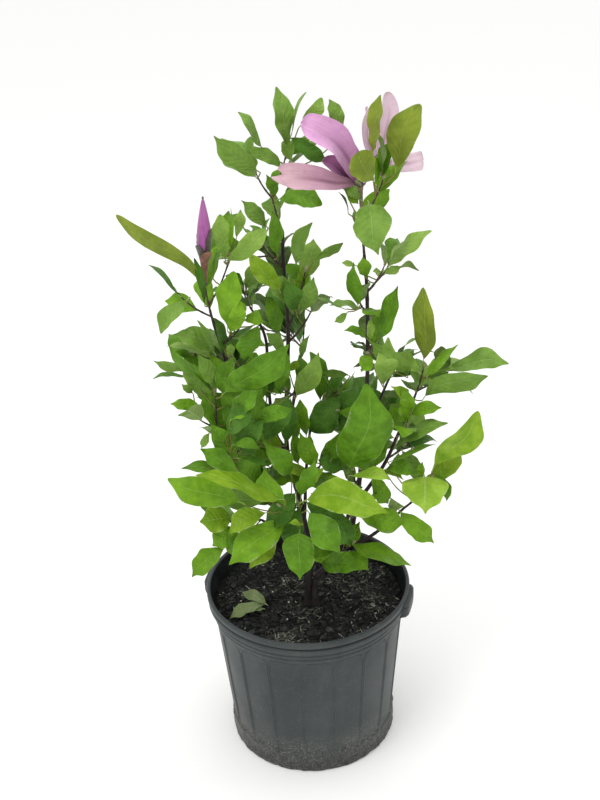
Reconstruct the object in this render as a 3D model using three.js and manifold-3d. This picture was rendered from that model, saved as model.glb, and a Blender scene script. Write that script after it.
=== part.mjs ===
// A young saucer magnolia in a nursery pot, in millimetres, +Z up.
// The origin is the centre of the pot's flat underside and the front is -Y.
import * as THREE from "three";
import { mergeVertices } from "three/addons/utils/BufferGeometryUtils.js";
import Module from "manifold-3d";

const wasm = await Module();
wasm.setup();

// Pot: a common nursery pot, 11 inches across its rim and 9.5 inches high
const RIM_RADIUS = 139.7;
const POT_HEIGHT = 241;
const UNDERSIDE_RADIUS = 113.5;
const FOOT_LOW_RADIUS = 115.8;
const FOOT_RADIUS = 117;
const FOOT_BAND_TOP = 31;
const WALL_FOOT_RADIUS = 114.5;
const WALL_TOP_RADIUS = 130;
const WALL = 2.6;
const FLOOR = 4;
const FLOOR_RADIUS = 111;
const COLLAR_BOTTOM = 203;
const COLLAR_TOP = 221;
const COLLAR_FOOT_RADIUS = 132.3;
const COLLAR_TOP_RADIUS = 135;
const COLLAR_INNER_RADIUS = 132.4;
const BEAD_RADIUS = 138.5;
const BEAD_TOP = 229;
const GROOVE_RADIUS = 137.1;
const LIP_BOTTOM = 233;
const LIP_SHOULDER = 3;
const MOUTH_RADIUS = 135.3;
const THROAT_RADIUS = 134.1;
const THROAT_DEPTH = 2;
const LEDGE = 1.5;
const FLUTES = 18;
const STEPS_PER_FLUTE = 3;
const RIB_HEIGHT = 0.8;
const RIB_TOLERANCE = 0.01;
const HANDLE_REACH = 145.5;
const HANDLE_ROOT_RADIUS = 133.7;
const HANDLE_BOTTOM = 215;
const HANDLE_TOP = 236;
const HANDLE_SPREAD = 22;
const HANDLE_ROOT_SPREAD = 24.2;
const HANDLE_SEGMENTS = 5;
const HANDLE_TURNS = [-15, 165];

// Soil, with its rings as shares of its edge's radius and of its dip
const SOIL_TOP = 215;
const SOIL_DIP = 4;
const SOIL_STEPS = 36;
const SOIL_RINGS = [[1, 1], [0.8, 0.5], [0.5, 0]];

// Wood
const GAP = 0.3;
const FLARE = 2.1;
const FLARE_HEIGHT = 26;
const TRUNK_SIDES = 8;
const TRUNK_STEPS = 8;
const LIMB_SIDES = 6;
const LIMB_STEP = 34;
const LEAST_LIMB_STEPS = 3;
const HEIGHT_SEARCH_STEPS = 30;

// Shoots and their side twigs
const SHOOT_RADIUS = 1.7;
const SHOOT_TIP_RADIUS = 1.0;
const TWIG_RADIUS = 1.2;
const SHOOT_SIDES = 3;
const SHOOT_STEPS = 2;
const SHOOT_BOW = 0.14;
const SHOOT_SAG = 0.07;
const TWIG_SEED = 500;
const TWIG_ALONG = 0.42;
const TWIG_OPEN = 52;
const TWIG_SHARE = 0.5;
const TWIG_TRIES = 6;
const TWIG_CLEARANCE = 9;

// Leaves: sizes as shares of the leaf's length, angles in degrees
const LEAF_WIDTH = 0.48;
const LEAF_FOLD = 0.12;
const LEAF_ARCH = 0.07;
const LEAF_THICKNESS = 0.017;
const LEAST_THICKNESS = 1.3;
const STALK_RADIUS = 1.0;
const ROOT_RADIUS = 0.6;
const ROOT_STEP = 0.06;
const GOLDEN_TURN = 137.5;
const OPEN_AT_FOOT = 68;
const OPEN_AT_TIP = 26;
const DROOP = 0.16;
const FIRST_LEAF = 0.35;
const LAST_LEAF = 0.98;
const TWIG_LEAF_SHARE = 0.6;
const LARGEST_LEAF_AT = 0.6;
const LEAF_GAIN = 0.06;
const LEAF_LOSS = 0.24;
const FACE_LIFT = 0.8;
const LEAF_STATIONS = [
  { along: 0.36, half: 0.95 },
  { along: 0.74, half: 0.84 },
];

// How much the rule's leaves differ from each other
const TURN_SCATTER = 30;
const OPEN_SCATTER = 16;
const ROLL_SCATTER = 50;
const WIDTH_SCATTER = 0.1;
const LEAST_LENGTH = 0.84;
const LENGTH_RANGE = 0.28;
const LEAST_ARCH = 0.4;

// Room that leaves keep
const CLEARANCE = 4.5;
const LEAF_CLEARANCE = 5;
const OWN_CLEARANCE = 9;
const BLOOM_CLEARANCE = 13;
const LOWEST_LEAF = 245;
const ROOT_SHARE = 0.4;
const CROSSING = 0.5;
const SPOT_STEPS = 8;
const SPOT_REACH = 0.8;
const WOOD_SPOTS = 40;
const LINE_STOPS = [0.25, 0.6, 1];
const PETAL_STOPS = [0, 0.25, 0.5, 0.75, 1];
const SIMPLIFY = 0.35;
const WELD = 1e-4;

// Petals
const PETAL_THICKNESS = 0.02;
const PETAL_CUP = 0.34;
const PETAL_ARCH = 0.05;
const PETAL_STATIONS = [
  { along: 0.2, half: 0.5 },
  { along: 0.58, half: 1.0 },
  { along: 0.88, half: 0.72 },
];
const BLOOM_TWIG_RADII = [1.8, 2.6];
const BLOOM_TWIG_SIDES = 5;

// Colours
const POT_LOOK = { color: 0x4b5855, roughness: 0.55 };
const SOIL_LOOK = { color: 0x1f1713, roughness: 0.95 };
const BARK_LOOK = { color: 0x3a2a28, roughness: 0.8 };
const LEAF_LOOKS = [0x7aa83a, 0x5c8f35, 0x49793a].map((color) => ({ color, roughness: 0.5 }));
const PETAL_LOOK = { color: 0xd9a3cf, roughness: 0.55 };
const PALE_PETAL_LOOK = { color: 0xe8cfe2, roughness: 0.55 };
const BUD_LOOK = { color: 0xa85c9c, roughness: 0.55 };

// Trunk: two close stems from one flared foot, each with places along its middle line
const TRUNK_STEMS = [
  {
    name: "trunk", radii: [5.0, 4.3],
    through: [[-1, -20, 215.3], [-1, -20, 230], [1, -18, 252], [7, -12.5, 296]],
  },
  {
    name: "right_trunk_stem", radii: [4.9, 4.4],
    through: [[8, -20, 215.3], [8, -20, 230], [8.5, -17, 243], [10, -15, 254.5]],
  },
];

// Limbs. Each leaves the limb it grows on at a height, or grows on from its tip, and then
// runs through a few places of its middle line up to its own tip.
const LIMBS = [
  {
    name: "right_low_limb", on: "right_trunk_stem", radii: [4.2, 3.9],
    through: [[38, -6, 282], [62, 3, 318]],
  },
  {
    name: "left_leader", on: "trunk", radii: [3.6, 1.9],
    through: [[-20, -25, 365], [-55, -31, 426], [-78, -31, 505], [-87, -38, 592], [-99, -46, 655]],
  },
  {
    name: "middle_leader", on: "trunk", radii: [3.7, 1.9],
    through: [
      [-6, 12, 362], [-20, 29, 438], [-15, 37, 541], [-11, 37, 608], [-13, 32, 696], [-12, 30, 736],
    ],
  },
  {
    name: "right_leader", on: "right_low_limb", radii: [3.9, 1.9],
    through: [[72, 5, 380], [79, 4, 441], [86, 0, 545], [87, -4, 659], [84, -8, 716]],
  },
  {
    name: "left_mid_bough", on: "left_leader", at: 408, radii: [2.7, 1.7],
    through: [[-72, -52, 448], [-90, -61, 485], [-104, -65, 521]],
  },
  {
    name: "back_middle_bough", on: "middle_leader", at: 425, radii: [2.6, 1.7],
    through: [[-36, 48, 455], [-41, 62, 521], [-41, 70, 574], [-52, 75, 607]],
  },
  {
    name: "centre_bough", on: "middle_leader", at: 336, radii: [2.4, 1.6],
    through: [[4, 22, 400], [9, 33, 440], [15, 38, 478]],
  },
  {
    name: "right_bough", on: "right_leader", at: 358, radii: [2.8, 1.7],
    through: [[104, -15, 427], [125, -22, 483], [138, -25, 519]],
  },
  {
    name: "low_right_bough", on: "right_low_limb", at: 293, radii: [2.7, 1.7],
    through: [[78, -18, 316], [104, -28, 343], [129, -35, 374]],
  },
  {
    name: "front_low_stem", on: "trunk", at: 276, radii: [2.7, 1.8],
    through: [[-4, -42, 325], [-9, -62, 377]],
  },
  {
    name: "low_left_bough", on: "trunk", at: 286, radii: [2.6, 1.7],
    through: [[-25, -42, 345], [-55, -70, 388]],
  },
  {
    name: "back_right_bough", on: "right_leader", at: 462, radii: [2.3, 1.6],
    through: [[98, 24, 490], [114, 42, 518]],
  },
  {
    name: "back_left_bough", on: "left_leader", at: 434, radii: [2.6, 1.7],
    through: [[-72, 8, 470], [-84, 46, 500]],
  },
  {
    name: "back_low_left_bough", on: "trunk", at: 281, radii: [2.6, 1.7],
    through: [[-20, 30, 325], [-52, 72, 366]],
  },
  {
    name: "back_low_right_bough", on: "right_low_limb", at: 306, radii: [2.5, 1.7],
    through: [[62, 50, 345], [66, 92, 398]],
  },
  {
    name: "back_centre_bough", on: "middle_leader", at: 446, radii: [2.6, 1.7],
    through: [[-8, 76, 484], [2, 112, 522]],
  },
];

// Leafy shoots. Each leaves its limb at a height or grows on from its tip, and ends at `to`.
// `forks` sets side twigs as [place along the shoot, end], and `leaves` sets leaves as
// [twig, place along it, tip, width, roll, sideways bow], where twig 0 is the shoot itself.
// The rule grows all other twigs and leaves.
const SHOOTS = [
  {
    name: "left_top_leaves", limb: "left_leader", to: [-105, -50, 703],
    size: 70, rule: 5, turn: 20, seed: 11, tone: 1,
    forks: [[0.5, [-76, -45, 729]], [0.15, [-138, -60, 701]]],
    leaves: [
      [0, 0.8, [-195, -62, 796], 0.26, 20, -0.07], [0, 0.9, [-88, -85, 745], 0.4],
      [1, 1, [-31, -52, 766], 0.5], [1, 0.8, [-81, -35, 783], 0.42], [1, 0.9, [-64, -62, 799], 0.2],
      [2, 1, [-155, -80, 659], 0.6], [2, 0.8, [-166, -50, 731], 0.28],
    ],
  },
  {
    name: "left_inner_leaves", limb: "left_leader", at: 622, to: [-63, -62, 660],
    size: 66, rule: 6, turn: 80, seed: 12, tone: 1,
    leaves: [[0, 1, [-72, -70, 727], 0.5], [0, 0.7, [-63, -92, 619], 0.55], [0, 1, [-30, -72, 690]]],
  },
  {
    name: "left_outer_leaves", limb: "left_leader", at: 590, to: [-103, -56, 628],
    size: 62, rule: 5, turn: 200, seed: 13, tone: 1,
    leaves: [[0, 0.9, [-147, -70, 652], 0.55], [0, 1, [-120, -58, 672], 0.4]],
  },
  {
    name: "left_mid_leaves", limb: "left_mid_bough", to: [-102, -62, 568],
    size: 76, rule: 8, turn: 140, seed: 14, tone: 0,
    forks: [[0.02, [-131, -75, 549]]],
    leaves: [
      [0, 1, [-114, -65, 626], 0.42], [0, 0.8, [-167, -70, 616], 0.3], [0, 0.55, [-10, -97, 641], 0.42],
      [0, 0.7, [-176, -50, 586], 0.4], [1, 1, [-160, -82, 562], 0.5], [1, 0.8, [-124, -92, 506], 0.5],
    ],
  },
  {
    name: "left_low_leaves", limb: "left_mid_bough", at: 472, to: [-94, -88, 498],
    size: 80, rule: 8, turn: 30, seed: 15, tone: 0,
    leaves: [
      [0, 0.9, [-148, -84, 474], 0.56], [0, 1, [-103, -122, 535], 0.5], [0, 0.8, [-44, -108, 544], 0.5],
    ],
  },
  {
    name: "back_left_leaves", limb: "back_left_bough", to: [-94, 68, 538],
    size: 70, rule: 5, turn: 60, seed: 16, tone: 2,
  },
  {
    name: "left_upper_leaves", limb: "middle_leader", at: 689, to: [-45, 20, 738],
    size: 66, rule: 6, turn: 100, seed: 17, tone: 1,
    leaves: [[0, 1, [-59, 2, 792], 0.5], [0, 0.8, [-66, 32, 770], 0.4], [0, 0.6, [-26, -12, 776], 0.45]],
  },
  {
    name: "crown_top_leaves", limb: "middle_leader", to: [-23, 30, 781],
    size: 70, rule: 5, turn: 10, seed: 18, tone: 1,
    forks: [[0.96, [-40, 28, 810]], [0.96, [-2, 35, 839]]],
    leaves: [
      [1, 1, [-87, 10, 862], 0.45], [1, 0.8, [-58, 24, 887], 0.28], [0, 0.9, [34, -12, 783], 0.56, 35],
      [1, 0.6, [8, 2, 806], 0.4], [2, 1, [-13, 30, 911], 0.34], [2, 0.9, [20, 45, 900], 0.25],
      [2, 0.8, [43, 62, 890], 0.45], [2, 1, [51, 48, 814], 0.3], [2, 0.4, [49, 46, 893], 0.3, 0, 0.14],
    ],
  },
  {
    name: "middle_upper_leaves", limb: "middle_leader", at: 606, to: [13, 15, 689],
    size: 68, rule: 7, turn: 250, seed: 19, tone: 1,
    leaves: [
      [0, 1, [23, 8, 754], 0.5], [0, 0.9, [60, 10, 726], 0.22], [0, 0.75, [-52, -20, 712], 0.46],
      [0, 0.8, [-6, -34, 712], 0.55],
    ],
  },
  {
    name: "middle_right_leaves", limb: "middle_leader", at: 585, to: [24, 35, 639],
    size: 62, rule: 5, turn: 300, seed: 20, tone: 1,
    leaves: [[0, 1, [64, 32, 632], 0.22], [0, 0.9, [16, 56, 694], 0.34]],
  },
  {
    name: "back_middle_leaves", limb: "back_middle_bough", to: [-67, 75, 644],
    size: 66, rule: 5, turn: 90, seed: 21, tone: 2,
    leaves: [[0, 1, [-58, 85, 710], 0.45], [0, 0.9, [-102, 90, 690], 0.4]],
  },
  {
    name: "middle_leaves", limb: "middle_leader", at: 506, to: [0, 22, 532],
    size: 66, rule: 8, turn: 170, seed: 22, tone: 0,
    leaves: [[0, 0.9, [26, 6, 584], 0.55], [0, 1, [14, 38, 600], 0.4]],
  },
  {
    name: "centre_leaves", limb: "centre_bough", to: [30, 36, 503],
    size: 70, rule: 9, turn: 220, seed: 23, tone: 2,
    leaves: [[0, 1, [68, 26, 524], 0.6], [0, 0.6, [57, 18, 440], 0.5]],
  },
  {
    name: "right_top_leaves", limb: "right_leader", to: [81, -14, 776],
    size: 66, rule: 4, turn: 40, seed: 24, tone: 0,
    forks: [[0.8, [106, -22, 812]]],
    leaves: [
      [0, 0.9, [95, -85, 752], 0.6], [1, 0.75, [86, -80, 850], 0.5], [1, 0.8, [108, -14, 894], 0.24],
      [1, 1, [149, -30, 897], 0.4, 0, 0.05], [1, 0.8, [150, -48, 818], 0.22],
    ],
  },
  {
    name: "right_upper_leaves", limb: "right_leader", at: 667, to: [107, -18, 705],
    size: 60, rule: 4, turn: 10, seed: 25, tone: 0,
    leaves: [[0, 1, [160, -28, 752], 0.46], [0, 0.7, [124, -58, 712], 0.4]],
  },
  {
    name: "right_inner_leaves", limb: "right_leader", at: 641, to: [76, -27, 665],
    size: 58, rule: 4, turn: 120, seed: 26, tone: 1,
    leaves: [[0, 1, [72, -42, 722], 0.36], [0, 0.8, [22, -12, 662], 0.2]],
  },
  {
    name: "right_side_leaves", limb: "right_leader", at: 590, to: [99, -21, 612],
    size: 66, rule: 5, turn: 200, seed: 27, tone: 1,
    leaves: [
      [0, 1, [114, -25, 682], 0.32], [0, 0.9, [131, -72, 573], 0.3], [0, 0.7, [54, -44, 640], 0.3],
    ],
  },
  {
    name: "front_right_leaves", limb: "right_leader", at: 382, to: [64, -30, 432],
    size: 84, rule: 8, turn: 60, seed: 28, tone: 0,
    leaves: [[0, 1, [88, -55, 570], 0.5], [0, 0.8, [18, -62, 462], 0.5]],
  },
  {
    name: "right_bough_leaves", limb: "right_bough", to: [154, -28, 574],
    size: 74, rule: 6, turn: 20, seed: 29, tone: 1,
    leaves: [
      [0, 1, [147, -30, 683], 0.28], [0, 1, [255, -34, 578], 0.34], [0, 0.5, [226, -62, 566], 0.36],
      [0, 0.95, [203, 6, 592], 0.3], [0, 0.9, [122, 2, 580], 0.4],
    ],
  },
  {
    name: "right_middle_leaves", limb: "right_bough", at: 477, to: [130, -44, 500],
    size: 62, rule: 7, turn: 260, seed: 30, tone: 0,
    leaves: [[0, 1, [183, -52, 508], 0.4], [0, 0.8, [112, -66, 550], 0.4]],
  },
  {
    name: "right_lower_leaves", limb: "right_bough", at: 440, to: [130, -10, 452],
    size: 62, rule: 7, turn: 310, seed: 31, tone: 2,
    leaves: [[0, 1, [178, 6, 446], 0.25], [0, 0.9, [150, -52, 420], 0.4]],
  },
  {
    name: "low_right_leaves", limb: "low_right_bough", to: [163, -40, 421],
    size: 76, rule: 7, turn: 140, seed: 32, tone: 0,
    leaves: [
      [0, 1, [221, -54, 521], 0.44], [0, 0.9, [186, -66, 384], 0.45], [0, 0.8, [148, -104, 399], 0.5],
      [0, 0.6, [150, -12, 434], 0.4],
    ],
  },
  {
    name: "front_low_right_leaves", limb: "low_right_bough", at: 341, to: [112, -42, 372],
    size: 72, rule: 7, turn: 90, seed: 33, tone: 0,
    leaves: [[0, 0.9, [168, -92, 344], 0.45], [0, 1, [124, -100, 432], 0.5]],
  },
  {
    name: "low_leaves", limb: "right_low_limb", at: 290, to: [62, -28, 318],
    size: 70, rule: 6, turn: 210, seed: 34, tone: 0,
    leaves: [[0, 1, [138, -64, 300], 0.36], [0, 0.9, [66, -88, 300], 0.55]],
  },
  {
    name: "front_leaves", limb: "front_low_stem", to: [-9, -67, 406],
    size: 92, rule: 8, turn: 120, seed: 35, tone: 0,
    forks: [[0.7, [-30, -84, 416]]],
    leaves: [
      [0, 1, [103, -120, 421], 0.44], [0, 0.6, [-11, -126, 325], 0.42], [0, 0.8, [46, -118, 362], 0.45],
      [1, 1, [-125, -124, 479], 0.42], [1, 0.7, [-78, -124, 372], 0.5], [0, 1, [12, -62, 475], 0.5],
      [1, 0.9, [-46, -72, 503], 0.55],
    ],
  },
  {
    name: "low_left_leaves", limb: "low_left_bough", to: [-79, -86, 410],
    size: 86, rule: 8, turn: 230, seed: 36, tone: 0,
    leaves: [
      [0, 0.7, [-146, -106, 316], 0.46], [0, 0.9, [-134, -76, 400], 0.45],
      [0, 1, [-168, -98, 464], 0.46, 0, -0.05],
    ],
  },
  {
    name: "back_right_leaves", limb: "back_right_bough", to: [128, 56, 548],
    size: 66, rule: 5, turn: 50, seed: 37, tone: 2,
  },
  {
    name: "back_low_left_leaves", limb: "back_low_left_bough", to: [-72, 96, 400],
    size: 86, rule: 5, turn: 70, seed: 38, tone: 2,
  },
  {
    name: "back_low_right_leaves", limb: "back_low_right_bough", to: [72, 110, 436],
    size: 86, rule: 5, turn: 150, seed: 39, tone: 2,
  },
  {
    name: "back_centre_leaves", limb: "back_centre_bough", to: [10, 126, 566],
    size: 84, rule: 6, turn: 0, seed: 40, tone: 2,
  },
  {
    name: "back_leader_leaves", limb: "left_leader", at: 520, to: [-86, 4, 566],
    size: 72, rule: 5, turn: 130, seed: 41, tone: 2,
  },
  {
    name: "back_crown_leaves", limb: "middle_leader", at: 650, to: [-28, 72, 690],
    size: 60, rule: 4, turn: 80, seed: 42, tone: 2,
  },
  {
    name: "centre_low_leaves", limb: "centre_bough", at: 398, to: [30, -4, 436],
    size: 70, rule: 9, turn: 40, seed: 44, tone: 0,
  },
  {
    name: "middle_low_leaves", limb: "middle_leader", at: 412, to: [-40, -10, 452],
    size: 72, rule: 6, turn: 190, seed: 45, tone: 0,
  },
  {
    name: "right_foot_leaves", limb: "right_leader", at: 338, to: [52, -34, 378],
    size: 76, rule: 9, turn: 260, seed: 46, tone: 0,
    leaves: [[0, 1, [104, -68, 438], 0.3]],
  },
  {
    name: "left_foot_leaves", limb: "left_leader", at: 366, to: [-52, -58, 420],
    size: 72, rule: 9, turn: 300, seed: 47, tone: 0,
  },
  {
    name: "right_fork_leaves", limb: "right_bough", at: 400, to: [92, -46, 442],
    size: 70, rule: 6, turn: 100, seed: 48, tone: 0,
  },
  {
    name: "back_side_leaves", limb: "right_leader", at: 420, to: [98, 40, 452],
    size: 74, rule: 6, turn: 30, seed: 43, tone: 2,
  },
];

// Blooms, each on its own twig from a place along a shoot. A petal is [tip, width, roll,
// sideways bow].
const BLOOMS = [
  {
    name: "front_bloom", on: "right_top_leaves", along: 1, heart: [81, -17, 803], look: PETAL_LOOK,
    petals: [
      [[16, -55, 893], 0.38, -20, 0.12], [[-21, -70, 842], 0.34, -42, 0], [[47, -42, 845], 0.5, 0, 0],
      [[26, -6, 876], 0.34, 0, 0.06], [[-2, -8, 838], 0.33, 0, 0],
    ],
  },
  {
    name: "back_bloom", on: "right_top_leaves", along: 0.45, heart: [109, 22, 823], look: PALE_PETAL_LOOK,
    petals: [
      [[101, 25, 879], 0.36, 0, 0.08], [[119, 35, 898], 0.24, 0, 0], [[158, 20, 817], 0.6, 40, 0],
      [[96, 84, 870], 0.34, 0, 0], [[134, 76, 862], 0.34, 0, 0],
    ],
  },
];
const BUD = { name: "left_bud", on: "left_top_leaves", tip: [-99, -55, 810], radius: 8.6 };
const BUD_OUTLINE = [[0.02, 0.24], [0.12, 0.62], [0.3, 0.8], [0.42, 0.86], [0.6, 1], [0.8, 0.78], [0.93, 0.4]];
const BUD_SIDES = 8;

// Eye of someone who looks at the plant's front, and what they see of the crown on the
// upright plane through the pot's middle: its edges as [height, left, right], and the
// windows of open sky between its boughs as [across, height, radius]
const EYE = new THREE.Vector3(0, -1350, 1221);
const CROWN_EDGES = [
  [240, -150, 150], [300, -158, 172], [380, -165, 190], [460, -160, 218], [520, -165, 226],
  [570, -182, 240], [620, -178, 200], [680, -165, 158], [740, -190, 160], [790, -115, 155],
  [840, -88, 152], [915, -84, 150],
];
const SKY_GAPS = [
  [38, 612, 20], [45, 760, 24], [45, 686, 22], [-76, 800, 18], [45, 578, 14], [126, 302, 15],
  [195, 502, 15], [130, 756, 14], [-134, 744, 14], [-48, 800, 12], [137, 662, 14], [-160, 544, 10],
  [-152, 712, 10], [106, 672, 9], [-130, 645, 9], [-134, 694, 9], [185, 600, 10], [-28, 888, 10],
  [-64, 868, 9], [-60, 733, 10],
];

// Faces of leaves and petals look up and a little to the front
const SKY = new THREE.Vector3(0, -0.35, 1);

const radians = THREE.MathUtils.degToRad;
const mix = THREE.MathUtils.lerp;
const place = (xyz) => new THREE.Vector3(...xyz);
const hump = (share) => 4 * share * (1 - share);

// A repeatable row of numbers from 0 to 1
const SEED_STEP = 7919;
const MULTIPLIER = 16807;
const MODULUS = 2147483647;

function dice(seed) {
  let state = (seed * SEED_STEP) % MODULUS;
  return () => {
    state = (state * MULTIPLIER) % MODULUS;
    return state / MODULUS;
  };
}

function scatter(roll, range) {
  return range * (roll() - 0.5);
}

// Closed skin over a row of rings, from one end point to the other
function skin(first, rings, last) {
  const around = rings[0].length;
  const points = [first, ...rings.flat(), last];
  const lastIndex = points.length - 1;
  const faces = [];
  const at = (ring, step) => 1 + ring * around + (step % around);
  for (let step = 0; step < around; step += 1) {
    faces.push([0, at(0, step + 1), at(0, step)]);
    for (let ring = 0; ring + 1 < rings.length; ring += 1) {
      faces.push([at(ring, step), at(ring, step + 1), at(ring + 1, step + 1)]);
      faces.push([at(ring, step), at(ring + 1, step + 1), at(ring + 1, step)]);
    }
    faces.push([at(rings.length - 1, step), at(rings.length - 1, step + 1), lastIndex]);
  }
  const volume = faces.reduce((sum, [a, b, c]) => {
    return sum + points[a].dot(new THREE.Vector3().crossVectors(points[b], points[c]));
  }, 0);
  const outward = volume > 0 ? faces : faces.map(([a, b, c]) => [a, c, b]);
  const geometry = new THREE.BufferGeometry().setFromPoints(points);
  geometry.setIndex(outward.flat());
  return geometry;
}

function toSolid(geometry) {
  const bare = geometry.clone();
  bare.deleteAttribute("normal");
  bare.deleteAttribute("uv");
  const merged = mergeVertices(bare, WELD);
  const vertProperties = new Float32Array(merged.attributes.position.array);
  const triVerts = new Uint32Array(merged.index.array);
  return new wasm.Manifold(new wasm.Mesh({ numProp: 3, vertProperties, triVerts }));
}

function toGeometry(solid) {
  const mesh = solid.getMesh();
  const geometry = new THREE.BufferGeometry();
  geometry.setAttribute("position", new THREE.BufferAttribute(new Float32Array(mesh.vertProperties), 3));
  geometry.setIndex(Array.from(mesh.triVerts));
  geometry.computeVertexNormals();
  return geometry;
}

// The largest body of a fused solid, with sealed hollows filled and loose scraps dropped
function mainBody(solid) {
  return solid.decompose().reduce((best, body) => (body.volume() > best.volume() ? body : best));
}

// Two directions square to each other and to the given one
function crossAxes(along) {
  const upright = Math.abs(along.z) > 0.9;
  const guide = upright ? new THREE.Vector3(0, 1, 0) : new THREE.Vector3(0, 0, 1);
  const side = new THREE.Vector3().crossVectors(guide, along).normalize();
  return [side, new THREE.Vector3().crossVectors(along, side).normalize()];
}

function ringAbout(centre, along, radius, sides, side = crossAxes(along)[0]) {
  const up = new THREE.Vector3().crossVectors(along, side);
  return Array.from({ length: sides }, (_, step) => {
    const angle = (2 * Math.PI * step) / sides;
    const out = side.clone().multiplyScalar(Math.cos(angle)).addScaledVector(up, Math.sin(angle));
    return centre.clone().addScaledVector(out, radius);
  });
}

// Tapering rod along a curve, with flat ends; `extra` makes it thicker and longer all round,
// and `flare` widens its foot
function rod(curve, radii, steps, sides, { extra = 0, flare = 1 } = {}) {
  const rings = [];
  const ground = curve.getPoint(0).z;
  const side = crossAxes(curve.getTangent(0))[0];
  for (let step = 0; step <= steps; step += 1) {
    const along = step / steps;
    const rise = Math.max(0, 1 - (curve.getPoint(along).z - ground) / FLARE_HEIGHT);
    const radius = mix(radii[0], radii[1], along) * (1 + (flare - 1) * rise ** 3) + extra;
    const shift = extra * (Number(step === steps) - Number(step === 0));
    const tangent = curve.getTangent(along);
    const centre = curve.getPoint(along).addScaledVector(tangent, shift);
    side.addScaledVector(tangent, -side.dot(tangent)).normalize();
    rings.push(ringAbout(centre, tangent, radius, sides, side));
  }
  const first = curve.getPoint(0).addScaledVector(curve.getTangent(0), -extra);
  return skin(first, rings, curve.getPoint(1).addScaledVector(curve.getTangent(1), extra));
}

function curveThrough(points) {
  return new THREE.CatmullRomCurve3(points, false, "catmullrom", 0.5);
}

// Bowed line of a shoot, which leaves its foot low and turns up toward its tip
function shootCurve(foot, tip) {
  const span = tip.clone().sub(foot);
  const flat = new THREE.Vector3(span.x, span.y, 0);
  const bend = foot.clone().addScaledVector(span, 0.5).addScaledVector(flat, SHOOT_BOW);
  bend.z -= SHOOT_SAG * span.length();
  return new THREE.QuadraticBezierCurve3(foot, bend, tip);
}

// Pot
const POT_OUTSIDE = [
  [0, 0], [UNDERSIDE_RADIUS, 0], [FOOT_LOW_RADIUS, FLOOR], [FOOT_RADIUS, FOOT_BAND_TOP - LEDGE],
  [WALL_FOOT_RADIUS, FOOT_BAND_TOP], [WALL_TOP_RADIUS, COLLAR_BOTTOM],
  [COLLAR_FOOT_RADIUS, COLLAR_BOTTOM + LEDGE], [COLLAR_TOP_RADIUS, COLLAR_TOP],
  [BEAD_RADIUS, COLLAR_TOP + LEDGE], [BEAD_RADIUS, BEAD_TOP],
  [GROOVE_RADIUS, BEAD_TOP + LEDGE], [GROOVE_RADIUS, LIP_BOTTOM - LEDGE], [RIM_RADIUS, LIP_BOTTOM],
  [RIM_RADIUS, POT_HEIGHT - LIP_SHOULDER], [RIM_RADIUS - LEDGE, POT_HEIGHT],
];
const WALL_INSIDE = [
  [WALL_TOP_RADIUS - WALL, COLLAR_BOTTOM], [WALL_FOOT_RADIUS - WALL, FOOT_BAND_TOP], [FLOOR_RADIUS, FLOOR],
];
const POT_INSIDE = [
  [MOUTH_RADIUS, POT_HEIGHT], [THROAT_RADIUS, POT_HEIGHT - THROAT_DEPTH], [COLLAR_INNER_RADIUS, COLLAR_TOP],
  ...WALL_INSIDE, [0, FLOOR],
];

function turned(profile, steps) {
  const outline = profile.map(([radius, height]) => new THREE.Vector2(radius, height));
  return new THREE.LatheGeometry(outline, steps).rotateX(Math.PI / 2);
}

// Pot shell with a low rib between the flutes of its wall
function pot() {
  const shell = turned([...POT_OUTSIDE, ...POT_INSIDE], FLUTES * STEPS_PER_FLUTE);
  const position = shell.attributes.position;
  const fluteStep = (2 * Math.PI) / FLUTES;
  for (let index = 0; index < position.count; index += 1) {
    const point = new THREE.Vector3().fromBufferAttribute(position, index);
    const radius = Math.hypot(point.x, point.y);
    const rise = (point.z - FOOT_BAND_TOP) / (COLLAR_BOTTOM - FOOT_BAND_TOP);
    const onWall = rise > -RIB_TOLERANCE && rise < 1 + RIB_TOLERANCE;
    const outer = radius > mix(WALL_FOOT_RADIUS, WALL_TOP_RADIUS, rise) - WALL / 2;
    const flute = Math.atan2(point.y, point.x) / fluteStep;
    const onRib = Math.abs(flute - Math.round(flute)) < RIB_TOLERANCE;
    if (onWall && outer && onRib && radius < FOOT_RADIUS + LEDGE * FLUTES) {
      const grown = (radius + RIB_HEIGHT) / radius;
      position.setXY(index, point.x * grown, point.y * grown);
    }
  }
  return HANDLE_TURNS.reduce((solid, turn) => solid.add(handle(turn)), toSolid(shell));
}

// Finger grip: a short ledge on the collar
function handle(turn) {
  const half = radians(HANDLE_SPREAD / 2);
  const rootHalf = radians(HANDLE_ROOT_SPREAD / 2);
  const outline = new THREE.Shape();
  outline.absarc(0, 0, HANDLE_REACH, -half, half, false);
  outline.absarc(0, 0, HANDLE_ROOT_RADIUS, rootHalf, -rootHalf, true);
  outline.closePath();
  const ledge = new THREE.ExtrudeGeometry(outline, {
    depth: HANDLE_TOP - HANDLE_BOTTOM, bevelEnabled: false, curveSegments: HANDLE_SEGMENTS,
  });
  ledge.translate(0, 0, HANDLE_BOTTOM);
  ledge.rotateZ(radians(turn));
  return toSolid(ledge);
}

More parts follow.
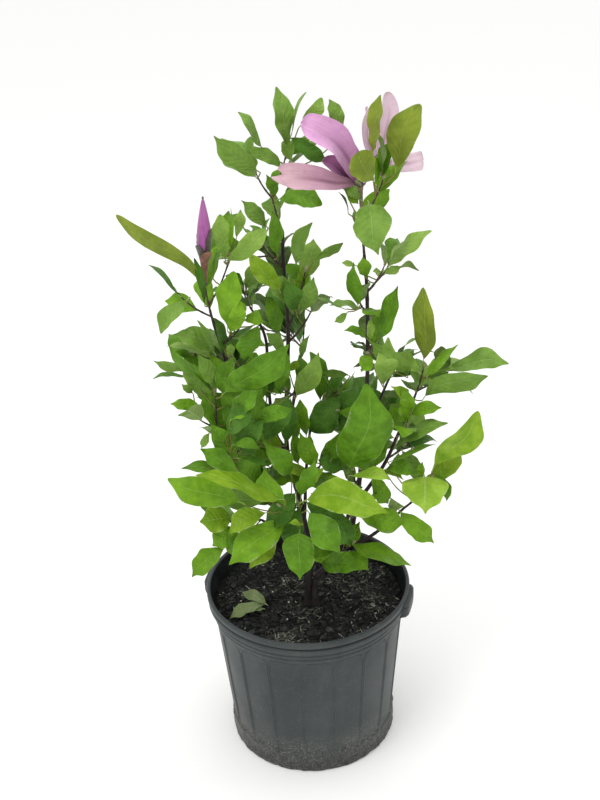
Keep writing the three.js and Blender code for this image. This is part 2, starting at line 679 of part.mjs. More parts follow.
// Soil: fills the pot up to its top, a little lower toward the wall
function soil() {
  const wall = [...WALL_INSIDE].reverse().map(([radius, height]) => {
    return [radius - 2 * GAP, Math.max(height, FLOOR + GAP)];
  });
  const rise = (SOIL_TOP - SOIL_DIP - COLLAR_BOTTOM) / (COLLAR_TOP - COLLAR_BOTTOM);
  const edge = mix(WALL_TOP_RADIUS - WALL, COLLAR_INNER_RADIUS, rise) - 2 * GAP;
  const top = SOIL_RINGS.map(([share, dip]) => [edge * share, SOIL_TOP - SOIL_DIP * dip]);
  return toSolid(turned([[0, FLOOR + GAP], ...wall, ...top, [0, SOIL_TOP]], SOIL_STEPS));
}

// Trunk
function trunk(extra = 0) {
  return TRUNK_STEMS.map(({ name, radii }) => {
    return toSolid(rod(limbs.get(name).curve, radii, TRUNK_STEPS, TRUNK_SIDES, { extra, flare: FLARE }));
  }).reduce((left, right) => left.add(right));
}

// Place on a limb's middle line at a height above the pot's underside
function placeAtHeight(curve, height) {
  let low = 0;
  let high = 1;
  for (let step = 0; step < HEIGHT_SEARCH_STEPS; step += 1) {
    const middle = (low + high) / 2;
    if (curve.getPoint(middle).z < height) {
      low = middle;
    } else {
      high = middle;
    }
  }
  return low;
}

// Where a limb or shoot leaves the limb it grows on: at a height, or just beyond its tip
function footOn(parent, height) {
  if (height === undefined) {
    return parent.curve.getPoint(1).addScaledVector(parent.curve.getTangent(1), GAP);
  }
  return parent.curve.getPoint(placeAtHeight(parent.curve, height));
}

const limbs = new Map();
TRUNK_STEMS.forEach((stem) => limbs.set(stem.name, { ...stem, curve: curveThrough(stem.through.map(place)) }));
LIMBS.forEach((limb) => {
  const curve = curveThrough([footOn(limbs.get(limb.on), limb.at), ...limb.through.map(place)]);
  limbs.set(limb.name, { ...limb, curve });
});

function limbSolid({ curve, radii }, extra = 0) {
  const steps = Math.max(LEAST_LIMB_STEPS, Math.round(curve.getLength() / LIMB_STEP));
  return toSolid(rod(curve, radii, steps, LIMB_SIDES, { extra }));
}

// Lengthwise, upward and sideways directions of a leaf or petal, and places on its face
function frameOf(leaf) {
  const span = leaf.tip.clone().sub(leaf.root);
  const length = span.length();
  const along = span.clone().normalize();
  const up = leaf.face.clone().addScaledVector(along, -leaf.face.dot(along)).normalize();
  const side = new THREE.Vector3().crossVectors(along, up);
  const centre = (share) => {
    const middle = leaf.root.clone().addScaledVector(span, share);
    middle.addScaledVector(up, leaf.arch * length * hump(share));
    return middle.addScaledVector(side, leaf.bow * length * hump(share));
  };
  const beside = (share, reach) => {
    return centre(share).addScaledVector(side, reach).addScaledVector(up, Math.abs(reach) * leaf.fold);
  };
  return { length, up, centre, beside };
}

// Leaf or petal: an arched blade with a stalk, from its root to its tip. A leaf has a keel
// under a plain face, and a ridged blade has a hollow face too.
function blade(leaf, stations, thickness, ridged = false) {
  const { length, up, centre, beside } = frameOf(leaf);
  const depth = Math.max(thickness * length, LEAST_THICKNESS);
  const ring = (share, half, deep) => {
    const middle = (lift) => centre(share).addScaledVector(up, lift);
    const keel = ridged ? [middle(-deep / 2)] : [middle(-deep)];
    const ridge = ridged ? [middle(deep / 2)] : [];
    return [beside(share, half), ...ridge, beside(share, -half), ...keel];
  };
  const half = (leaf.width * length) / 2;
  const rings = stations.map((station) => {
    return ring(station.along, Math.max(half * station.half, STALK_RADIUS), depth);
  });
  return skin(leaf.root, [ring(0, ROOT_RADIUS, ROOT_RADIUS), ...rings], leaf.tip);
}

// Spots over a leaf's face, for keeping leaves clear of each other and of the wood
function spots(leaf, from = 0) {
  const { length, centre, beside } = frameOf(leaf);
  const result = [];
  for (let step = 1; step <= SPOT_STEPS; step += 1) {
    const share = step / SPOT_STEPS;
    if (share >= from) {
      const reach = (SPOT_REACH * leaf.width * length * Math.sin(Math.PI * share)) / 2;
      result.push(centre(share), beside(share, reach), beside(share, -reach));
    }
  }
  return result;
}

// Where a place shows from the front: on the upright plane through the pot's middle
function seen(point) {
  return EYE.clone().lerp(point, EYE.y / (EYE.y - point.y));
}

function insideCrown(point) {
  const { x, z } = seen(point);
  const above = Math.max(1, CROWN_EDGES.findIndex(([height]) => height > z));
  const [low, high] = [CROWN_EDGES[above - 1], CROWN_EDGES[above]];
  const share = (z - low[0]) / (high[0] - low[0]);
  return z < CROWN_EDGES.at(-1)[0] && x > mix(low[1], high[1], share) && x < mix(low[2], high[2], share);
}

function inSkyGap(point) {
  const { x, z } = seen(point);
  return SKY_GAPS.some(([across, height, radius]) => Math.hypot(x - across, z - height) < radius);
}

function nearness(points, others) {
  let best = Infinity;
  points.forEach((point) => others.forEach((other) => {
    best = Math.min(best, point.distanceTo(other));
  }));
  return best;
}

// Direction that opens away from a stem, on one side of it
function branchOff(stem, turn, open) {
  const [side, up] = crossAxes(stem);
  const out = side.multiplyScalar(Math.cos(turn)).addScaledVector(up, Math.sin(turn));
  return stem.clone().multiplyScalar(Math.cos(open)).addScaledVector(out, Math.sin(open));
}

function twigRod(curve, part, extra = 0) {
  const foot = part === 0 ? SHOOT_RADIUS : TWIG_RADIUS;
  return toSolid(rod(curve, [foot, SHOOT_TIP_RADIUS], SHOOT_STEPS, SHOOT_SIDES, { extra }));
}

// Shoots: their middle lines first
const shoots = SHOOTS.map((spec) => {
  const main = shootCurve(footOn(limbs.get(spec.limb), spec.at), place(spec.to));
  const forks = (spec.forks ?? []).map(([along, tip]) => shootCurve(main.getPoint(along), place(tip)));
  return { leaves: [], ...spec, parts: [main, ...forks], blades: [] };
});

// Places along a shoot's middle lines
function linesOf(shoot) {
  return shoot.parts.flatMap((curve) => LINE_STOPS.map((along) => curve.getPoint(along)));
}

function addPart(shoot, curve) {
  shoot.parts.push(curve);
  measure(shoot);
}

function measure(shoot) {
  shoot.line = linesOf(shoot);
  shoot.rods = shoot.parts.map((curve, part) => twigRod(curve, part));
}

shoots.forEach(measure);

function shootNamed(name) {
  return shoots.find((shoot) => shoot.name === name);
}

// Wood in growing order: each limb is cut clear of the wood before it
const wood = [{ name: "trunk", solid: mainBody(trunk()), around: trunk(GAP) }];
LIMBS.forEach(({ name }) => {
  const limb = limbs.get(name);
  const solid = wood.reduce((rest, earlier) => rest.subtract(earlier.around), limbSolid(limb));
  wood.push({ name, solid: mainBody(solid), around: limbSolid(limb, GAP) });
});

// Blooms
function clearOfShoot(solid, shoot) {
  const twigs = shoot.parts.map((curve, part) => twigRod(curve, part, 2 * GAP));
  return mainBody(twigs.reduce((rest, twig) => rest.subtract(twig), solid));
}

function faceAlong(root, tip, roll) {
  return SKY.clone().applyAxisAngle(tip.clone().sub(root).normalize(), radians(roll));
}

function bloom(spec) {
  const shoot = shootNamed(spec.on);
  const root = place(spec.heart);
  const foot = shoot.parts[0].getPoint(spec.along);
  const twig = toSolid(rod(shootCurve(foot, root), BLOOM_TWIG_RADII, SHOOT_STEPS, BLOOM_TWIG_SIDES));
  const petals = spec.petals.map(([end, width, roll, bow]) => {
    const tip = place(end);
    const face = faceAlong(root, tip, roll);
    const petal = { root, tip, width, face, arch: PETAL_ARCH, bow, fold: PETAL_CUP };
    return toSolid(blade(petal, PETAL_STATIONS, PETAL_THICKNESS, true));
  });
  return clearOfShoot(wasm.Manifold.union([twig, ...petals]), shoot);
}

function bud() {
  const shoot = shootNamed(BUD.on);
  const foot = shoot.parts[0].getPoint(1);
  const span = place(BUD.tip).sub(foot);
  const along = span.clone().normalize();
  const rings = BUD_OUTLINE.map(([share, size]) => {
    return ringAbout(foot.clone().addScaledVector(span, share), along, BUD.radius * size, BUD_SIDES);
  });
  return clearOfShoot(toSolid(skin(foot, rings, place(BUD.tip))), shoot);
}

const petals = [...BLOOMS.map(bloom), bud()];

const woodSpots = LIMBS.flatMap((limb) => limbs.get(limb.name).curve.getSpacedPoints(WOOD_SPOTS));
const petalLines = BLOOMS.flatMap((spec) => spec.petals.map(([tip]) => [place(spec.heart), place(tip)]));
const budLine = [shootNamed(BUD.on).parts[0].getPoint(1), place(BUD.tip)];
const bloomSpots = [...petalLines, budLine].flatMap(([root, tip]) => {
  return PETAL_STOPS.map((share) => root.clone().lerp(tip, share));
});

// Whether a piece of a shoot is nearer than the gap to any wood, bloom or other shoot
function touches(shoot, solid) {
  const close = (other) => solid.minGap(other, 2 * GAP) < GAP;
  const others = shoots.filter((other) => other !== shoot);
  return wood.some((limb) => close(limb.solid))
    || petals.some(close)
    || others.some((other) => other.rods.some(close) || other.blades.some((laid) => close(laid.solid)));
}

function lay(leaf) {
  return { spots: spots(leaf), solid: toSolid(blade(leaf, LEAF_STATIONS, LEAF_THICKNESS)) };
}

// Whether a leaf cuts through another leaf of its own shoot
function crosses(shoot, solid) {
  return shoot.blades.some((laid) => laid.solid.intersect(solid).volume() > CROSSING);
}

// Leaves set by hand
function handLeaf(shoot, [part, along, end, width = LEAF_WIDTH, roll = 0, bow = 0], index) {
  const root = shoot.parts[part].getPoint(along - ROOT_STEP * (index % 3));
  const tip = place(end);
  return { root, tip, width, face: faceAlong(root, tip, roll), arch: LEAF_ARCH, bow, fold: LEAF_FOLD };
}

shoots.forEach((shoot) => {
  shoot.leaves.forEach((entry, index) => shoot.blades.push(lay(handLeaf(shoot, entry, index))));
});

// Side twigs by the rule, on the shoots with none set by hand: the first of a few golden
// turns that stays in the crown and clear of all else
function twigFits(shoot, curve) {
  const points = LINE_STOPS.map((along) => curve.getPoint(along));
  const others = shoots.filter((other) => other !== shoot);
  return points.every(insideCrown)
    && !points.some(inSkyGap)
    && nearness(points, woodSpots) > TWIG_CLEARANCE
    && others.every((other) => nearness(points, other.line) > TWIG_CLEARANCE)
    && !touches(shoot, twigRod(curve, 1));
}

function ruleTwig(shoot) {
  const roll = dice(shoot.seed + TWIG_SEED);
  const foot = shoot.parts[0].getPoint(TWIG_ALONG);
  const stem = shoot.parts[0].getTangent(TWIG_ALONG);
  const curves = Array.from({ length: TWIG_TRIES }, (_, step) => {
    const turn = radians(shoot.turn + GOLDEN_TURN * step + scatter(roll, TURN_SCATTER));
    const aim = branchOff(stem, turn, radians(TWIG_OPEN));
    return shootCurve(foot, foot.clone().addScaledVector(aim, TWIG_SHARE * shoot.size));
  });
  return curves.find((curve) => twigFits(shoot, curve));
}

shoots.filter((shoot) => shoot.parts.length === 1).forEach((shoot) => {
  const twig = ruleTwig(shoot);
  if (twig) {
    addPart(shoot, twig);
  }
});

// Leaves by the rule: set round each twig by the golden turn, opening wide at its foot and
// narrow at its tip
function ruleLeaf(shoot, curve, along, number, roll) {
  const stem = curve.getTangent(along);
  const turn = radians(shoot.turn + GOLDEN_TURN * number + scatter(roll, TURN_SCATTER));
  const open = radians(mix(OPEN_AT_FOOT, OPEN_AT_TIP, along) + scatter(roll, OPEN_SCATTER));
  const aim = branchOff(stem, turn, open);
  aim.z -= DROOP * roll();
  const shortening = 1 + LEAF_GAIN - LEAF_LOSS * Math.abs(along - LARGEST_LEAF_AT);
  const length = shoot.size * shortening * (LEAST_LENGTH + LENGTH_RANGE * roll());
  const root = curve.getPoint(along);
  const face = stem.add(new THREE.Vector3(0, 0, FACE_LIFT));
  face.applyAxisAngle(aim.normalize(), radians(scatter(roll, ROLL_SCATTER)));
  const tip = root.clone().addScaledVector(aim, length);
  const width = LEAF_WIDTH + scatter(roll, WIDTH_SCATTER);
  const arch = LEAF_ARCH * (LEAST_ARCH + roll());
  return { root, tip, width, face, arch, bow: 0, fold: LEAF_FOLD };
}

function ruleLeaves(shoot) {
  const roll = dice(shoot.seed);
  const leaves = [];
  shoot.parts.forEach((curve, part) => {
    const count = part === 0 ? shoot.rule : Math.ceil(shoot.rule * TWIG_LEAF_SHARE);
    for (let step = 1; step <= count; step += 1) {
      const along = mix(FIRST_LEAF, LAST_LEAF, step / count);
      leaves.push(ruleLeaf(shoot, curve, along, leaves.length, roll));
    }
  });
  return leaves;
}

// A leaf fits where its middle is in its own shoot's space and it stays clear of all else
function hasRoom(shoot, leaf) {
  const own = spots(leaf, ROOT_SHARE);
  const middle = [leaf.root.clone().lerp(leaf.tip, 0.5)];
  const home = nearness(middle, shoot.line);
  const others = shoots.filter((other) => other !== shoot);
  return leaf.tip.z > LOWEST_LEAF
    && own.every(insideCrown)
    && !own.some(inSkyGap)
    && nearness(own, woodSpots) > CLEARANCE
    && nearness(own, bloomSpots) > BLOOM_CLEARANCE
    && shoot.blades.every((laid) => nearness(own, laid.spots) > OWN_CLEARANCE)
    && others.every((other) => nearness(middle, other.line) > home)
    && others.every((other) => nearness(own, other.line) > CLEARANCE)
    && others.every((other) => other.blades.every((laid) => nearness(own, laid.spots) > LEAF_CLEARANCE));
}

shoots.forEach((shoot) => {
  ruleLeaves(shoot).filter((leaf) => hasRoom(shoot, leaf)).forEach((leaf) => {
    const laid = lay(leaf);
    if (!crosses(shoot, laid.solid) && !touches(shoot, laid.solid)) {
      shoot.blades.push(laid);
    }
  });
});

// Shoot, twigs and leaves fused into one body and cut clear of the wood
function shootSolid(shoot) {
  const pieces = [...shoot.rods, ...shoot.blades.map((laid) => laid.solid)];
  const fused = wasm.Manifold.union(pieces).simplify(SIMPLIFY);
  return mainBody(wood.reduce((rest, limb) => rest.subtract(limb.around), fused));
}

function meshOf(name, solid, look) {
  const mesh = new THREE.Mesh(toGeometry(solid), new THREE.MeshStandardMaterial({ ...look, metalness: 0 }));
  mesh.name = name;
  return mesh;
}

const plant = new THREE.Group();
plant.add(meshOf("pot", pot(), POT_LOOK));
plant.add(meshOf("soil", soil(), SOIL_LOOK));
wood.forEach((limb) => plant.add(meshOf(limb.name, limb.solid, BARK_LOOK)));
shoots.forEach((shoot) => plant.add(meshOf(shoot.name, shootSolid(shoot), LEAF_LOOKS[shoot.tone])));
BLOOMS.forEach((spec, index) => plant.add(meshOf(spec.name, petals[index], spec.look)));
plant.add(meshOf(BUD.name, petals[BLOOMS.length], BUD_LOOK));

export default plant;
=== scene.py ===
"""Looks of a young saucer magnolia in a nursery pot. Lengths are in millimetres up to the meshes, which
are in metres. The front of the plant faces -Y. Colours are plain codes, dealt out by spray."""

import math

import bpy
import numpy as np
from mathutils import Matrix, Vector, noise


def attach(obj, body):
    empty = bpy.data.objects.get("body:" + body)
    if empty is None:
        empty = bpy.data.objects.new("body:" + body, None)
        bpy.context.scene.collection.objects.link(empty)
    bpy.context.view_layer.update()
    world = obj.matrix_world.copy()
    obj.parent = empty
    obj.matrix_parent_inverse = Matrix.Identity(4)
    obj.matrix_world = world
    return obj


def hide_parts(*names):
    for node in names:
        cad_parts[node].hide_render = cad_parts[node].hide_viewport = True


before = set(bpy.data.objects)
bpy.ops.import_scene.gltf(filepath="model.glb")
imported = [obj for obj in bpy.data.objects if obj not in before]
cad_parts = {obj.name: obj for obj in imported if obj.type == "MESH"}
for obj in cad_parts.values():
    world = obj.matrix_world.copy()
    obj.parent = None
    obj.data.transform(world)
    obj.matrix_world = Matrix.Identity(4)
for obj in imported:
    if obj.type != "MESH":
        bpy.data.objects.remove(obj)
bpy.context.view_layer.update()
MM = 0.001
FULL_TURN = 6.28

# Pot: radii and heights from the underside to the rim
RIM_RADIUS = 139.7
POT_HEIGHT = 241.0
UNDERSIDE_RADIUS = 113.5
FOOT_RADIUS = 117.0
FOOT_BAND_TOP = 31.0
WALL_FOOT_RADIUS = 114.5
WALL_TOP_RADIUS = 130.0
WALL = 2.6
COLLAR_BOTTOM = 203.0
COLLAR_TOP = 221.0
COLLAR_FOOT_RADIUS = 132.3
COLLAR_TOP_RADIUS = 135.0
COLLAR_INNER_RADIUS = 132.4
COLLAR_LINES = (211.0, 217.5)
BEAD_RADIUS = 138.5
BEAD_TOP = 229.0
LIP_GROOVE_RADIUS = 135.9
LIP_BOTTOM = 233.0
MOUTH_RADIUS = 135.3
THROAT_RADIUS = 134.1
FLUTES = 18
FLUTE_TURN = 3.1
PANEL_PITCH = 42.6
PANEL_HALF = 20.0
PANEL_ROUND = 12.0
PANEL_TOP = 200.0
PANEL_DEPTH = 0.6
PANEL_LINE = 0.7
PANEL_LINE_HALF = 0.55
DIRT_RELIEF = 1.3
FOOT_ROWS = 9
RIB_STOPS = (
    0.0, 0.5, 0.9, 1.3, 1.7, 2.2, 2.8, 3.6, 4.6, 5.8, 7.2, 8.8, 10.6, 12.6, 15.0, 18.0, 21.3,
)
HANDLE_ROOT = 134.5
HANDLE_REACH = 145.5
HANDLE_BOTTOM = 215.0
HANDLE_TOP = 236.0
HANDLE_SPREAD = 22.0
HANDLE_TURNS = (-15.0, 165.0)
HANDLE_STEPS = 14

# Soil
SOIL_TOP = 215.0
SOIL_DIP = 1.5
SOIL_DIP_REACH = 129
SOIL_WAVES = 0.035
SOIL_RELIEF = 3.0
SOIL_RADIUS = 130.0
SOIL_RINGS = 46
SOIL_SIDES = 120
CHIP_COUNT = 4200
CHIP_REACH = 127
CHIP_LIMIT = 129.5
CHIP_SIDES = 4
HEAP_COUNT = 11
HEAP_REACH = 112.0
HEAP_SHARE = 0.75
HEAP_LENGTH = 34
HEAP_WIDTH = 24
CHIP_SEED = 2024
SPECK_SEED = 77
FALLEN_SEED = 9
SPECK_COUNT = 16
SPECK_REACH = 124
CHIP_CORNERS = [
    (-1, -0.6, -1), (-1, 0.4, -0.8), (-0.94, 0.5, 0.8), (-1, -0.5, 1),
    (-0.3, -0.9, -1), (-0.3, 1, -1), (-0.36, 0.9, 0.8), (-0.3, -1, 1),
    (0.4, -1, -0.9), (0.38, 0.8, -1), (0.4, 0.9, 1), (0.42, -0.8, 0.9),
    (1, -0.3, -0.7), (0.96, 0.5, -0.6), (0.92, 0.4, 0.6), (0.98, -0.5, 0.7),
]
# Fallen leaves: root, tip and width to length
FALLEN = [((-58, -20), (-108, -49), 0.36), ((-56, -24), (-92, 5), 0.44), ((-60, -30), (-84, -34), 0.5)]

# Wood
GAP = 0.3
FLARE = 1.55
FLARE_HEIGHT = 26.0
NODE_STEP = 31.0
NODE_HALF = 1.6
SHOOT_NODE_STEP = 13.0
SHOOT_RADIUS = 1.7
SHOOT_TIP_RADIUS = 0.8
TWIG_RADIUS = 1.2
STALK_RADII = (0.9, 0.72)
TRUNK_SIDES = 20
BOUGH_SIDES = 14
TWIG_SIDES = 8
STALK_SIDES = 7
FINE_PITCH = 2.5
SHOOT_BOW = 0.14
SHOOT_SAG = 0.07
TWIG_SEED = 500
TWIG_ALONG = 0.42
TWIG_OPEN = 52.0
TWIG_SHARE = 0.5
TWIG_TRIES = 6
TWIG_CLEARANCE = 9.0
STALK_TRIES = 40
STALK_BACK = 0.5
STALK_BEND = 0.55
STALK_SAG = 0.1

# Leaves by rule
LEAF_WIDTH = 0.48
GOLDEN_TURN = 137.5
OPEN_AT_FOOT = 68.0
OPEN_AT_TIP = 26.0
DROOP = 0.16
FIRST_LEAF = 0.35
LAST_LEAF = 0.98
TWIG_LEAF_SHARE = 0.6
LARGEST_LEAF_AT = 0.6
LEAF_GAIN = 0.06
LEAF_LOSS = 0.24
FACE_LIFT = 0.8
TURN_SCATTER = 30.0
OPEN_SCATTER = 16.0
ROLL_SCATTER = 50.0
WIDTH_SCATTER = 0.1
LENGTHS = (0.84, 0.28)
LEAST_ARCH = 0.4
FINE_SEED = 900
FINE_SIZE = 0.74
FINE_STEPS = 7
FIRST_FINE_LEAF = 0.15
BACK_GAIN = 3

# Room between leaves, wood and flowers
CLEARANCE = 4.5
LEAF_CLEARANCE = 5.0
OWN_CLEARANCE = 9.0
FINE_CLEARANCE = 5.5
BLOOM_CLEARANCE = 13.0
LOWEST_LEAF = 245.0
ROOT_SHARE = 0.4
SPOT_STEPS = 8
SPOT_REACH = 0.8
SHOWN_STOPS = (0.15, 0.3, 0.45, 0.6, 0.75, 0.9)
SHOWN_REACH = 0.8
WOOD_SPOTS = 40
LINE_STOPS = (0.25, 0.6, 1.0)
PETAL_STOPS = (0.0, 0.25, 0.5, 0.75, 1.0)

# Shape of a leaf: ranges are the least, the span and the power that makes large ones rare
SLIMMEST_LEAF = 0.38
EDGE_GAIN = 1.9
LEAF_RISE = 0.85
LEAF_ARCH = 0.07
LEAF_FOLD = 0.12
ARCH_LEAN = 1.3
CALM_POWER = 1.5
STALK = 0.09
STALK_HALF = 0.7
EDGE_HALF = 0.05
FOLDS = (0.03, 0.42, 1.3)
CURLS = (-0.25, 0.36)
TWIST_SCATTER = 50
WAVES = (0.05, 0.2, 1.5)
WAVE_COUNTS = (1.4, 1.9)
SKEWS = (1.0, 1.0)
ARCHES = (0.8, 1.0)
SNAKE_SCATTER = 0.05
HOOK_SCATTER = 0.16
DROP = 0.12
FALL = 0.42
POINT = (0.05, 0.62)
# From and to: sharpness of a tip, also in bright sprays, and where a point, a drop and a hook begin and end
SHARP = (0.2, 1.0)
BRIGHT_SHARP = (0.55, 1.05)
POINT_STOPS = (0.74, 0.94)
DROP_STOPS = (0.6, 1.1)
HOOK_STOPS = (0.7, 1.1)
BLADE_START = 0.12
FOLD_LOSS = 0.4
EDGE_WAVE = 0.07
EDGE_LOBE = 0.09
THICKNESS = 0.16
RIB_THICKNESS = 0.5
RIB_HALF = 0.12
SKIN = 0.1
LEAF_ROWS = np.concatenate([(0.0, 0.04, 0.085), np.linspace(0.12, 0.94, 22), (0.965, 0.985, 1.0)])
LEAF_COLUMNS = np.array((-1, -0.78, -0.48, -0.15, 0, 0.15, 0.48, 0.78, 1))

# Petals
PETAL_CUP = 0.4
PETAL_BLUNT = 0.84
PETAL_ROUND = 0.86
PETAL_EDGE = 0.03
PETAL_WAVE = 0.07
PETAL_KEEL = 0.1
PETAL_RIPPLE = 0.03
PETAL_THICKNESS = 0.8
PETAL_ROWS = np.concatenate([np.linspace(0, 0.9, 26), (0.93, 0.955, 0.975, 0.99, 1.0)])
PETAL_COLUMNS = np.linspace(-1, 1, 15)
FLOWER_STALK_RADII = (2.0, 3.8)
FILAMENT_ROWS = 12
BRACTS = 3
BRACT_TURN = 2.1
BUD_MARKS = (0.0, 0.1, 0.28, 0.38, 0.48, 0.58, 0.7, 0.82, 0.92, 0.97, 1.0)
BUD_BULGE = (0.24, 0.26, 0.4, 0.74, 0.96, 1.0, 0.84, 0.58, 0.34, 0.2, 0.06)
BUD_ROWS = 60
BUD_SIDES = 42

# Studio and camera, in metres
LIGHT_TARGET = Vector((0, 0, 0.5))
FLOOR_REACH = 14.0
FLOOR_DROP = -0.0002
CAMERA_PLACE = Vector((0.0, -1.35, 1.22125))
CAMERA_TARGET = Vector((0.0, 0.0, 0.52116))
CAMERA_ROLL = -0.04335
FOCAL_PIXELS = 1195.25
FRAME_HEIGHT = 800
SENSOR = 36.0
EYE = np.array((0.0, -1350.0, 1221.0))
TO_FRONT = np.array((0.0, -0.75, 0.66))

# Trunk: two close stems from one flared foot, with their radii and the points they pass
TRUNK_STEMS = [
    ("trunk", (5.0, 4.3), [(-1, -20, 215.3), (-1, -20, 230), (1, -18, 252), (7, -12.5, 296)]),
    ("right_trunk_stem", (4.9, 4.4), [(8, -20, 215.3), (8, -20, 230), (8.5, -17, 243), (10, -15, 254.5)]),
]

# Limbs: name, the limb that bears it, the height where it leaves that limb (TIP: grows on from its tip),
# its two radii and the points it passes
TIP = None
LIMBS = [
    ("right_low_limb", "right_trunk_stem", TIP, (4.2, 3.9), [(38, -6, 282), (62, 3, 318)]),
    ("left_leader", "trunk", TIP, (3.6, 1.9), [
        (-20, -25, 365), (-55, -31, 426), (-78, -31, 505), (-87, -38, 592), (-99, -46, 655),
    ]),
    ("middle_leader", "trunk", TIP, (3.7, 1.9), [
        (-6, 12, 362), (-20, 29, 438), (-15, 37, 541), (-11, 37, 608), (-13, 32, 696), (-12, 30, 736),
    ]),
    ("right_leader", "right_low_limb", TIP, (3.9, 1.9), [
        (72, 5, 380), (79, 4, 441), (86, 0, 545), (87, -4, 659), (84, -8, 716),
    ]),
    ("left_mid_bough", "left_leader", 408, (2.7, 1.7), [
        (-72, -52, 448), (-90, -61, 485), (-104, -65, 521),
    ]),
    ("back_middle_bough", "middle_leader", 425, (2.6, 1.7), [
        (-36, 48, 455), (-41, 62, 521), (-41, 70, 574), (-52, 75, 607),
    ]),
    ("centre_bough", "middle_leader", 336, (2.4, 1.6), [(4, 22, 400), (9, 33, 440), (15, 38, 478)]),
    ("right_bough", "right_leader", 358, (2.8, 1.7), [(104, -15, 427), (125, -22, 483), (138, -25, 519)]),
    ("low_right_bough", "right_low_limb", 293, (2.7, 1.7), [
        (78, -18, 316), (104, -28, 343), (129, -35, 374),
    ]),
    ("front_low_stem", "trunk", 276, (2.7, 1.8), [(-4, -42, 325), (-9, -62, 377)]),
    ("low_left_bough", "trunk", 286, (2.6, 1.7), [(-25, -42, 345), (-55, -70, 388)]),
    ("back_right_bough", "right_leader", 462, (2.3, 1.6), [(98, 24, 490), (114, 42, 518)]),
    ("back_left_bough", "left_leader", 434, (2.6, 1.7), [(-72, 8, 470), (-84, 46, 500)]),
    ("back_low_left_bough", "trunk", 281, (2.6, 1.7), [(-20, 30, 325), (-52, 72, 366)]),
    ("back_low_right_bough", "right_low_limb", 306, (2.5, 1.7), [(62, 50, 345), (66, 92, 398)]),
    ("back_centre_bough", "middle_leader", 446, (2.6, 1.7), [(-8, 76, 484), (2, 112, 522)]),
]

